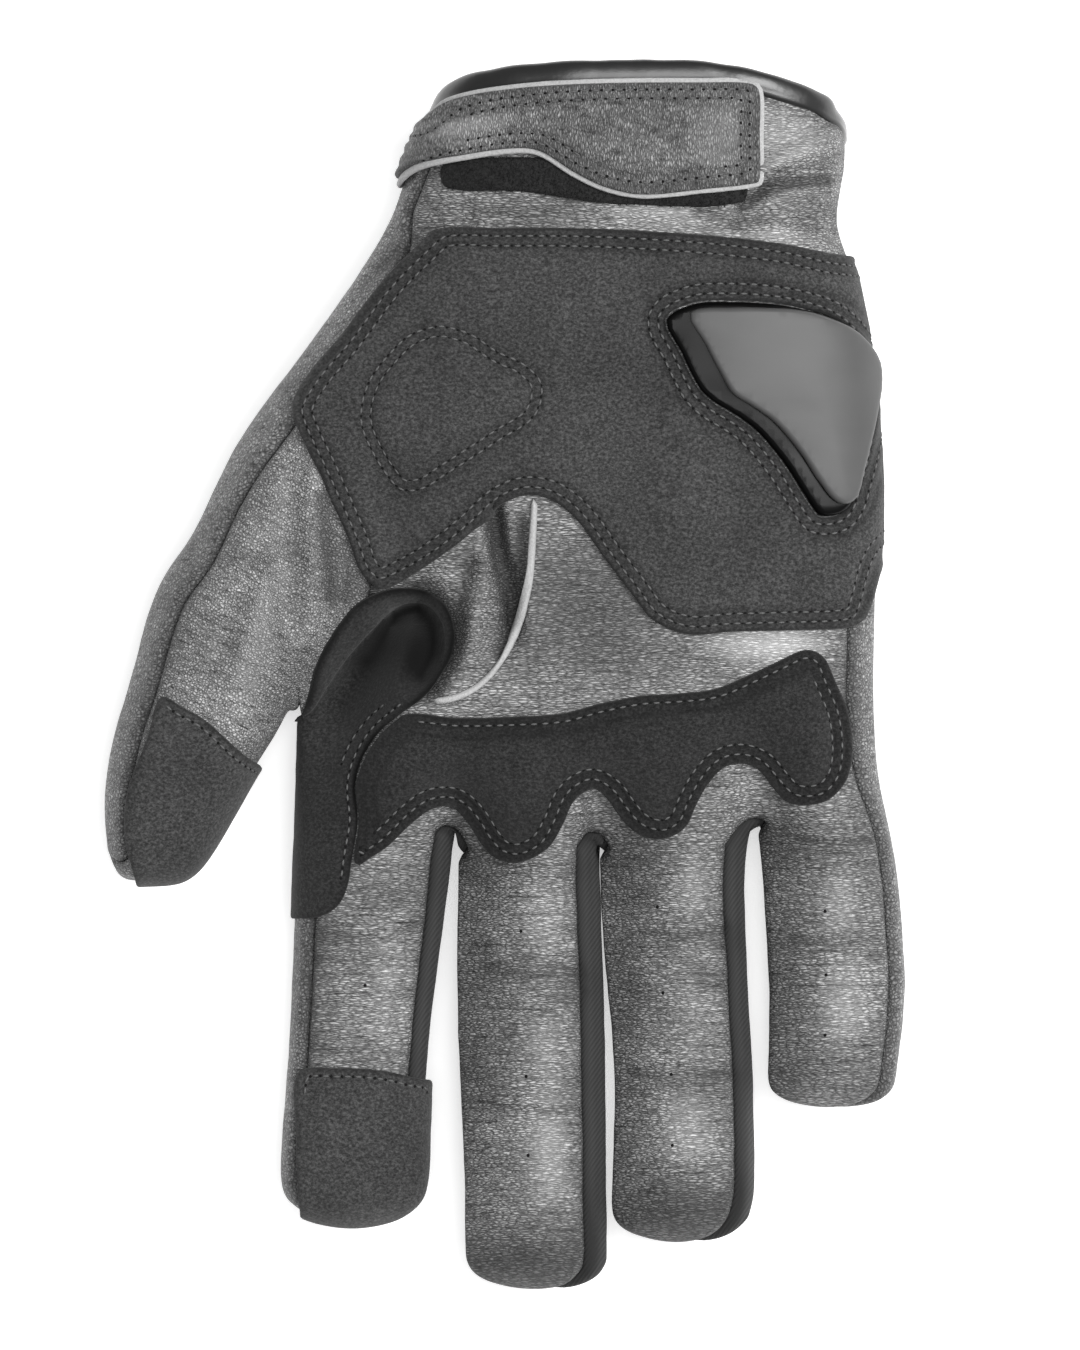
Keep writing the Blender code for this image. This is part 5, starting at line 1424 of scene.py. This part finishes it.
def overlay_patch(outline, low, sizes, rows, gaps):
    """An overlay's part of the skin, with points along its edge and its rows of stitches."""
    patch = Patch(skin(), plan(outline), low * PALM_DEPTH)
    for gap in gaps:
        patch.leave_out(plan(gap))
    patch.split("depth", 0.0, keep_below=False)
    lines = [sizes.row_inset + i * sizes.row_spacing for i in range(rows)]
    split_rows(patch, lines, GROOVE_REACH)
    return patch, lines


def sewn_profile(depth, lines, thickness, edge=0.7 * MM, puff=0.0):
    """Height of an overlay over the skin, with a groove under each row of stitches, and its painted shade
    along its edge and in each groove.
    """
    high = CLEARANCE + thickness * edged(depth, edge, 0.35)
    tones = EDGE_SHADE * np.exp(-np.clip(depth, 0.0, 1.0) / EDGE_SHADE_REACH)
    for line in lines:
        high = high - GROOVE_DEPTH * groove(depth, line)
        tones = tones + GROOVE_SHADE * groove(depth, line, GROOVE_SHADE_WIDTH)
    return high + puff * swell(depth - (lines[-1] if lines else 0.0), OVERLAY_PUFF_REACH), tones


def finish_patch(name, patch, low, high, tones, material, slot, *nodes):
    """Makes a patch's piece, and keeps the patch for what is sewn on it."""
    SHARED[name] = patch
    piece = patch.solid(name, low, high, None if tones is None else np.clip(tones, -1.0, 1.0))
    return dress(piece, material_named(material), slot, *nodes)


class GLOVE_OT_overlays(bpy.types.Operator):
    """Makes the suede overlays of the palm, the knuckles and the crotch, and the suede tips"""

    bl_idname = "glove.overlays"
    bl_label = "Suede Overlays"

    def execute(self, context):
        sizes = context.scene.glove_sizes
        patch, lines = overlay_patch(PALM_OVERLAY, PALM_OVERLAY_LOW, sizes, 2, (SLIDER_BASE,))
        patch.channel("heel", patch.depth_in(heel_curve()))
        for level in (-0.45, 0.0, 0.45, 1.5, 1.95, 2.4, 4.0):
            patch.split("heel", level * MM)
        high, tones = sewn_profile(patch.value("depth"), lines, SUEDE)
        heel = patch.value("heel")
        # painted shade in the heel pad's two grooves
        for line in (0.0, sizes.row_spacing):
            high = high - HEEL_GROOVE_DEPTH * groove(heel, line)
            tones = tones + HEEL_GROOVE_SHADE * groove(heel, line, GROOVE_SHADE_WIDTH)
        high = high + HEEL_PAD_RISE * swell(heel - sizes.row_spacing, HEEL_PAD_REACH)
        piece = finish_patch("palm_suede", patch, UNDERLAP, high, tones, "brushed_suede", "suede",
                             "palm_overlay")
        foam = PADDED_SUEDE - SUEDE + KNUCKLE_PUFF
        for name, outline, low, material, slot, cad, rows, gaps, puff in (
                ("crotch_suede", CROTCH_OVERLAY, CROTCH_OVERLAY_LOW, "dark_brushed_suede", "dark_suede",
                 "crotch_overlay", 0, (PALM_OVERLAY,), 0.0),
                ("knuckle_suede", KNUCKLE_OVERLAY, KNUCKLE_OVERLAY_LOW, "dark_brushed_suede", "dark_suede",
                 "knuckle_overlay", 2, (CROTCH_OVERLAY,), foam),
                ("index_tip_suede", INDEX_TIP_PATCH, TIP_PATCH_LOW, "brushed_suede", "suede",
                 "index_tip_patch", 0, (), 0.0),
                ("thumb_tip_suede", THUMB_TIP_PATCH, TIP_PATCH_LOW, "brushed_suede", "suede",
                 "thumb_tip_patch", 0, (), 0.0)):
            patch, lines = overlay_patch(outline, low, sizes, rows, gaps)
            if cad == "crotch_overlay":
                patch.channel("rim", path_side(patch.rows[:, :2], open_curve(np.array(CROTCH_RIM) * MM)))
                for level in (-0.6, -0.3, 0.0):
                    patch.split("rim", level * MM)
            high, tones = sewn_profile(patch.value("depth"), lines, SUEDE, puff=puff)
            if cad == "crotch_overlay":
                high, tones = pocket(patch, high, tones)
            piece = finish_patch(name, patch, UNDERLAP, high, tones, material, slot, cad)
        return {"FINISHED"}


def pocket(patch, high, tones):
    """Lowers the crotch overlay inside its rim and paints shade on it there, most of all along the pit at its
    top.
    """
    inside = np.clip(-patch.value("rim") / RIM_SLOPE, 0.0, 1.0)
    pit = path_distance(patch.rows[:, :2], np.array(CROTCH_PIT) * MM)
    shade = POCKET_SHADE * np.exp(-(pit / POCKET_REACH) ** 2)
    shade = shade + RIM_SHADE * np.exp(patch.value("rim") / RIM_SHADE_REACH)
    return UNDERLAP + (high - UNDERLAP) * (1.0 - POCKET_THINNING * inside), tones + inside * shade


def heel_curve():
    """The heel pad's outline."""
    return closed_curve([(x * MM, y * MM) for x, y in HEEL_PAD])


class GLOVE_OT_slider(bpy.types.Operator):
    """Makes the palm slider: its glossy base and the satin plate on it"""

    bl_idname = "glove.slider"
    bl_label = "Palm Slider"

    def execute(self, context):
        top = CLEARANCE + SLIDER_BASE_HEIGHT
        for name, outline, low, thickness, edge, dome, material, slot, cad in (
                ("slider_base_moulding", SLIDER_BASE, CLEARANCE, SLIDER_BASE_HEIGHT, 0.9 * MM, 0.0,
                 "gloss_tpu", "gloss_plastic", "slider_base"),
                ("slider_plate_moulding", SLIDER_PLATE, top + 0.1 * MM, SLIDER_PLATE_HEIGHT, 0.8 * MM,
                 PLATE_DOME, "satin_plastic", "slider_plastic", "slider_plate")):
            patch = Patch(skin(), plan(outline), PALM_OVERLAY_LOW * PALM_DEPTH)
            patch.split("depth", 0.0, keep_below=False)
            for share in (0.08, 0.3, 0.6, 1.0):
                patch.split("depth", share * edge)
            depth = patch.value("depth")
            high = low + thickness * edged(depth, edge, 0.3) + dome * swell(depth, DOME_REACH)
            finish_patch(name, patch, low, high, None, material, slot, cad)
        return {"FINISHED"}


def strap_standoff(patch):
    """Height of the strap's underside: over the pile on the palm side, close to the cuff at its side."""
    facing = np.clip(patch.rows[:, 5] * 1.4, 0.0, 1.0)
    return CLEARANCE + (CLEARANCE + HOOK_PATCH_THICKNESS) * facing


class GLOVE_OT_strap(bpy.types.Operator):
    """Makes the closing strap in two layers, and the loop pile that it closes on"""

    bl_idname = "glove.strap"
    bl_label = "Closing Strap"

    def execute(self, context):
        sizes = context.scene.glove_sizes
        patch = Patch(skin(), plan(HOOK_PATCH), PALM_OVERLAY_LOW * PALM_DEPTH)
        patch.split("depth", 0.0, keep_below=False)
        high = CLEARANCE + HOOK_PATCH_THICKNESS * edged(patch.value("depth"), 0.8 * MM, 0.4)
        backing = finish_patch("loop_pile_backing", patch, UNDERLAP, high, None, "loop_pile", "hook_fabric",
                               "hook_patch")
        pile = Scatter(capsule(4))
        rng = np.random.default_rng(7)
        spots = np.array([tuple(v.co) for v in backing.data.vertices])
        low, reach = spots.min(axis=0), np.ptp(spots, axis=0)
        for _ in range(PILE_LOOPS):
            x, y = low[:2] + rng.random(2) * reach[:2]
            place, normal = dropped(patch.tree, x, y)
            way = Vector(rng.normal(size=3))
            if place is not None:
                pile.add(place + normal * 0.1 * MM, way, way.orthogonal(), PILE_LOOP)
        dress(pile.finish("loop_pile"), material_named("loop_pile"), "hook_fabric")
        curve = plan(WRIST_STRAP)
        patch = Patch(skin(), curve, STRAP_LOW * PALM_DEPTH, plain=True)
        patch.split("depth", 0.0, keep_below=False)
        patch.split("depth", 0.3 * MM)
        low = strap_standoff(patch)
        backing_height = STRAP_THICKNESS * STRAP_BACKING_SHARE
        high = low + backing_height * edged(patch.value("depth"), 0.3 * MM, 0.5)
        finish_patch("strap_backing", patch, low, high, None, "raw_leather_edge", "raw_edge", "wrist_strap")
        patch = Patch(skin(), curve, STRAP_LOW * PALM_DEPTH, plain=True)
        patch.channel("depth", patch.value("depth") - STRAP_BORDER)
        patch.split("depth", 0.0, keep_below=False)
        lines = [STRAP_ROW, STRAP_ROW + sizes.row_spacing * STRAP_ROW_SPACING]
        split_rows(patch, lines, STRAP_GROOVE_REACH)
        low = strap_standoff(patch) + backing_height
        high, tones = sewn_profile(patch.value("depth"), lines, STRAP_THICKNESS * STRAP_LEATHER_SHARE)
        crown = STRAP_CROWN * swell(patch.value("depth") - lines[-1], STRAP_CROWN_REACH)
        high = high - CLEARANCE + low + crown
        # the strap's tones: painted shade along its edge and in its grooves, and the darker and paler patches
        tones = tones + tone_patches(patch.rows[:, :3], STRAP_TONE_PATCHES)
        finish_patch("strap_leather_layer", patch, low, high, tones, "strap_leather", "leather")
        return {"FINISHED"}


class GLOVE_OT_edges(bpy.types.Operator):
    """Makes the rolled binding round the cuff's edge, and the raw edge that curves down the palm"""

    bl_idname = "glove.edges"
    bl_label = "Binding and Raw Edge"

    def execute(self, context):
        dress(cuff_binding(skin()), material_named("rolled_leather"), "binding", "cuff_binding")
        route = np.array([(across(x), y * PALM_LENGTH) for x, y in SEAM_EDGE]) + FRAME_SHIFT[:2]
        low, high = route.min(axis=0), route.max(axis=0)
        box = np.array((low, (high[0], low[1]), high, (low[0], high[1])))
        patch = Patch(skin(), box, PALM_OVERLAY_LOW * PALM_DEPTH, 5 * MM)
        fine = open_curve(route)
        patch.channel("side", path_side(patch.rows[:, :2], fine))
        for share in (-1.0, -0.5, 0.0, 0.5, 1.0):
            patch.split("side", share * RAW_EDGE_HALF_WIDTH)
        patch.channel("depth", RAW_EDGE_HALF_WIDTH - path_distance(patch.rows[:, :2], fine))
        for name in (PALM_OVERLAY, CROTCH_OVERLAY, KNUCKLE_OVERLAY):
            patch.leave_out(plan(name), 0.1 * MM)
        patch.split("depth", 0.0, keep_below=False)
        high = CLEARANCE + SEAM_EDGE_HEIGHT * edged(patch.value("depth"), 0.45 * MM, 0.3)
        finish_patch("palm_raw_edge", patch, UNDERLAP, high, None, "raw_leather_edge", "raw_edge",
                     "seam_edge")
        return {"FINISHED"}


def open_curve(knots):
    """Points on a smooth curve through the knots of an open route."""
    rows = []
    before, after = 2 * knots[0] - knots[1], 2 * knots[-1] - knots[-2]
    padded = np.vstack((before, knots, after))
    for a, b, c, d in zip(padded, padded[1:], padded[2:], padded[3:]):
        for t in np.linspace(0.0, 1.0, 8, endpoint=False):
            rows.append(0.5 * (2 * b + (c - a) * t + (2 * a - 5 * b + 4 * c - d) * t ** 2
                               + (3 * b - a - 3 * c + d) * t ** 3))
    rows.append(knots[-1])
    return np.array(rows)


def cuff_binding(glove):
    """The rolled band round the cuff's edge, slightly bunched along its length."""
    start, end = border_edges(glove.quads, len(glove.points))
    following = dict(zip(start.tolist(), end.tolist()))
    loop = [int(start.min())]
    while following[loop[-1]] != loop[0]:
        loop.append(following[loop[-1]])
    points, normals = glove.points[loop], glove.normals[loop]
    way = np.roll(points, -2, axis=0) - np.roll(points, 2, axis=0)
    way /= np.linalg.norm(way, axis=1)[:, None]
    upward = np.cross(normals, way)
    upward /= np.linalg.norm(upward, axis=1)[:, None]
    upward *= np.sign(upward[:, 1])[:, None]
    # the band wraps over the leather's edge
    centre = points - normals * LEATHER / 2 + upward * (BINDING_HEIGHT - BINDING_GRIP - BAND_HEIGHT / 2)
    bunching = np.array([noise.noise(Vector(p) / BAND_BUNCHING_WAVE) for p in centre])
    rings = []
    for step in range(BINDING_SIDES):
        angle = 2 * math.pi * step / BINDING_SIDES
        bunched = 1.0 + BAND_BUNCHING * bunching
        # flat sides, and a thin lip along the lower edge
        lip = BAND_LIP * math.exp(-((math.sin(angle) + 0.8) / 0.2) ** 2)
        side = math.copysign(abs(math.cos(angle)) ** BAND_ROUNDNESS, math.cos(angle))
        out = side * (BINDING_THICKNESS / 2 + lip) * bunched
        up = math.sin(angle) * BAND_HEIGHT / 2 * bunched
        ring = centre + normals * out[:, None] + upward * up[:, None]
        ring[:, 2] = np.maximum(ring[:, 2], 0.0)
        rings.append(ring)
    count = len(loop)
    i = np.arange(count)
    j = (i + 1) % count
    faces = [np.column_stack((s * count + i, s * count + j, t * count + j, t * count + i))
             for s, t in zip(range(BINDING_SIDES), list(range(1, BINDING_SIDES)) + [0])]
    thing = make_object("rolled_binding", np.vstack(rings), np.vstack(faces))
    shape = bmesh.new()
    shape.from_mesh(thing.data)
    bmesh.ops.recalc_face_normals(shape, faces=shape.faces)
    shape.to_mesh(thing.data)
    shape.free()
    SHARED["binding_row"] = points - upward * BINDING_ROW
    return thing


class GLOVE_OT_stitching(bpy.types.Operator):
    """Sews the rows of stitches on the overlays, the strap and the cuff, with dark discs of painted shade for
    their needle holes and for the perforations
    """

    bl_idname = "glove.stitching"
    bl_label = "Stitching"

    def execute(self, context):
        sizes = context.scene.glove_sizes
        threads, holes = Scatter(capsule()), Scatter(capsule())
        first, second = sizes.row_inset, sizes.row_inset + sizes.row_spacing

        def rows(patch_name, curve, insets, blockers=(), only=None):
            for inset in insets:
                def keep(points, inset=inset):
                    good = np.ones(len(points), bool)
                    for blocker in blockers:
                        good &= inside_depth(points, plan(blocker)) < -inset + ROW_CLEARANCE
                    return good & only(points) if only else good
                for path in row_paths(curve, inset, keep):
                    sew(threads, holes, SHARED[patch_name].tree, path, sizes)

        palm = plan(PALM_OVERLAY)
        rows("palm_suede", palm, (first, second), (SLIDER_BASE,))
        rows("palm_suede", heel_curve(), (0.0, sizes.row_spacing))
        slider = plan(SLIDER_BASE)
        rows("palm_suede", slider, (-first, -second),
             only=lambda p: inside_depth(p, palm) > first + sizes.row_spacing + ROW_CLEARANCE)
        hidden = np.array(KNUCKLE_HIDDEN_EDGE) * MM
        top = np.array(KNUCKLE_TOP_EDGE) * MM
        rows("knuckle_suede", plan(KNUCKLE_OVERLAY), (first,), (CROTCH_OVERLAY,),
             only=lambda p: path_distance(p, hidden) > EDGE_REACH)
        rows("knuckle_suede", plan(KNUCKLE_OVERLAY), (second,), (CROTCH_OVERLAY,),
             only=lambda p: (path_distance(p, hidden) > EDGE_REACH) & (path_distance(p, top) > EDGE_REACH))
        rows("crotch_suede", plan(CROTCH_OVERLAY), (first, second),
             only=lambda p: (p[:, 0] > CROTCH_ROW_LEFT * MM) & (p[:, 1] < CROTCH_ROW_TOP * MM))
        rows("index_tip_suede", plan(INDEX_TIP_PATCH), (first,),
             only=lambda p: p[:, 1] > INDEX_TIP_ROW * MM)
        rows("thumb_tip_suede", plan(THUMB_TIP_PATCH), (first,), only=thumb_tip_row)
        strap, strap_row = plan(WRIST_STRAP), STRAP_BORDER + STRAP_ROW
        rows("strap_leather_layer", strap, (strap_row,))
        rows("strap_leather_layer", strap, (strap_row + sizes.row_spacing * STRAP_ROW_SPACING,),
             only=lambda p: (p[:, 1] > STRAP_SECOND_ROW_LOW * MM) & (p[:, 0] > STRAP_SECOND_ROW_LEFT * MM)
             | (p[:, 0] > STRAP_END * MM))
        leather = BVHTree.FromPolygons(skin().points.tolist(), skin().quads.tolist())
        row = SHARED["binding_row"]
        upper = row[row[:, 2] > CUFF_DEPTH * 0.55]
        upper = upper[np.argsort(upper[:, 0])]
        sew(threads, holes, leather, upper[:, :2], sizes)
        dress(threads.finish("stitches"), material_named("sewing_thread"), "textile")
        # the perforations, as dark discs of painted shade
        for x, y in PERFORATIONS:
            place, normal = dropped(leather, x * MM, y * MM)
            if place is not None:
                holes.add(place, normal.orthogonal(), normal, (PERFORATION, PERFORATION, 0.1 * MM))
        dress(holes.finish("needle_holes"), material_named("needle_hole"), "textile")
        return {"FINISHED"}


def thumb_tip_row(points):
    """The side of the thumb's patch that is sewn in view: its slanting upper edge."""
    slope, x, y = THUMB_TIP_SLANT
    return points[:, 1] > -slope * (points[:, 0] - x * MM) + y * MM


class GLOVE_OT_stage(bpy.types.Operator):
    """Makes the pale floor, the soft light and the camera"""

    bl_idname = "glove.stage"
    bl_label = "Stage"

    def execute(self, context):
        stage = context.scene.glove_stage
        bpy.ops.object.select_all(action="DESELECT")
        bpy.ops.mesh.primitive_plane_add(size=stage.floor_size, location=(0.0, 0.0, -FLOOR_DROP))
        floor = context.object
        floor.name = "floor"
        _, shader = new_material("studio_paper", roughness=0.9, specular_ior_level=0.1)
        shader.inputs["Base Color"].default_value = (*stage.floor_colour, 1.0)
        shader.inputs["Emission Color"].default_value = WHITE
        shader.inputs["Emission Strength"].default_value = stage.floor_glow
        floor.data.materials.append(bpy.data.materials["studio_paper"])
        world = bpy.data.worlds.new("soft_studio")
        world.use_nodes = True
        world.node_tree.nodes["Background"].inputs["Color"].default_value = WHITE
        world.node_tree.nodes["Background"].inputs["Strength"].default_value = stage.fill
        context.scene.world = world
        for name, place, size, power in (
                ("key_softbox", (0.9, 0.25, 1.3), 0.7, stage.key_power),
                ("top_softbox", (0.1, -0.1, 1.8), 0.8, stage.top_power)):
            bpy.ops.object.light_add(type="AREA", location=place)
            lamp = context.object
            lamp.name = name
            lamp.data.shape = "SQUARE"
            lamp.data.size = size
            lamp.data.energy = power
            aim = Vector((0.0, 0.0, 0.0)) - lamp.location
            lamp.rotation_euler = aim.to_track_quat("-Z", "Y").to_euler()
        bpy.ops.object.camera_add(
            location=(stage.centre_x, stage.centre_y, stage.distance), rotation=(0, 0, 0))
        camera = context.object
        camera.data.sensor_width = SENSOR
        camera.data.lens = SENSOR * (stage.distance - FOCUS_HEIGHT) / stage.frame_height
        camera.data.clip_end = 20.0
        context.scene.camera = camera
        context.scene.view_settings.view_transform = "Standard"
        return {"FINISHED"}


class StageSettings(bpy.types.PropertyGroup):
    """The floor, the light and the camera."""

    floor_size: bpy.props.FloatProperty(
        name="Floor Size", description="Side of the square floor", default=6.0, min=1.0, unit="LENGTH")
    floor_colour: bpy.props.FloatVectorProperty(
        name="Floor Colour", description="Colour of the paper floor", default=linear("#f8f8f8"), size=3,
        min=0.0, max=1.0, subtype="COLOR")
    floor_glow: bpy.props.FloatProperty(
        name="Floor Glow", description="Light of the paper itself, as on a light table", default=0.5,
        min=0.0, max=2.0)
    fill: bpy.props.FloatProperty(
        name="Fill", description="Strength of the light from all round", default=0.36, min=0.0, max=5.0)
    key_power: bpy.props.FloatProperty(
        name="Key Power", description="Power of the softbox on the little finger's side", default=22.0,
        min=0.0, unit="POWER")
    top_power: bpy.props.FloatProperty(
        name="Top Power", description="Power of the softbox over the glove", default=16.0, min=0.0,
        unit="POWER")
    distance: bpy.props.FloatProperty(
        name="Camera Height", description="Height of the camera over the floor", default=4.0, min=0.5,
        unit="LENGTH")
    frame_height: bpy.props.FloatProperty(
        name="Frame Height", description="Length of floor that the picture's height covers",
        default=0.26256, min=0.05, unit="LENGTH")
    centre_x: bpy.props.FloatProperty(
        name="Centre X", description="X of the picture's middle", default=6.8 * MM, unit="LENGTH")
    centre_y: bpy.props.FloatProperty(
        name="Centre Y", description="Y of the picture's middle", default=-0.4 * MM, unit="LENGTH")


OPERATORS = (GLOVE_OT_shell, GLOVE_OT_overlays, GLOVE_OT_slider, GLOVE_OT_strap, GLOVE_OT_edges,
             GLOVE_OT_stitching, GLOVE_OT_stage)


class GLOVE_PT_panel(bpy.types.Panel):
    """Lists the glove's pieces and their settings"""

    bl_idname = "GLOVE_PT_panel"
    bl_label = "Motorcycle Glove"
    bl_space_type = "VIEW_3D"
    bl_region_type = "UI"
    bl_category = "Glove"

    def draw(self, context):
        column = self.layout.column()
        for operator in OPERATORS:
            column.operator(operator.bl_idname)
        for settings in (context.scene.glove_sizes, context.scene.glove_colours, context.scene.glove_stage):
            box = self.layout.box()
            for name in settings.__annotations__:
                box.prop(settings, name)


CLASSES = (GloveSizes, GloveColours, StageSettings) + OPERATORS + (GLOVE_PT_panel,)


def register():
    for item in CLASSES:
        bpy.utils.register_class(item)
    bpy.types.Scene.glove_sizes = bpy.props.PointerProperty(type=GloveSizes)
    bpy.types.Scene.glove_colours = bpy.props.PointerProperty(type=GloveColours)
    bpy.types.Scene.glove_stage = bpy.props.PointerProperty(type=StageSettings)


def unregister():
    del bpy.types.Scene.glove_stage
    del bpy.types.Scene.glove_colours
    del bpy.types.Scene.glove_sizes
    for item in reversed(CLASSES):
        bpy.utils.unregister_class(item)


def main():
    register()
    bpy.ops.glove.shell()
    bpy.ops.glove.overlays()
    bpy.ops.glove.slider()
    bpy.ops.glove.strap()
    bpy.ops.glove.edges()
    bpy.ops.glove.stitching()
    bpy.ops.glove.stage()


if __name__ == "__main__":
    main()
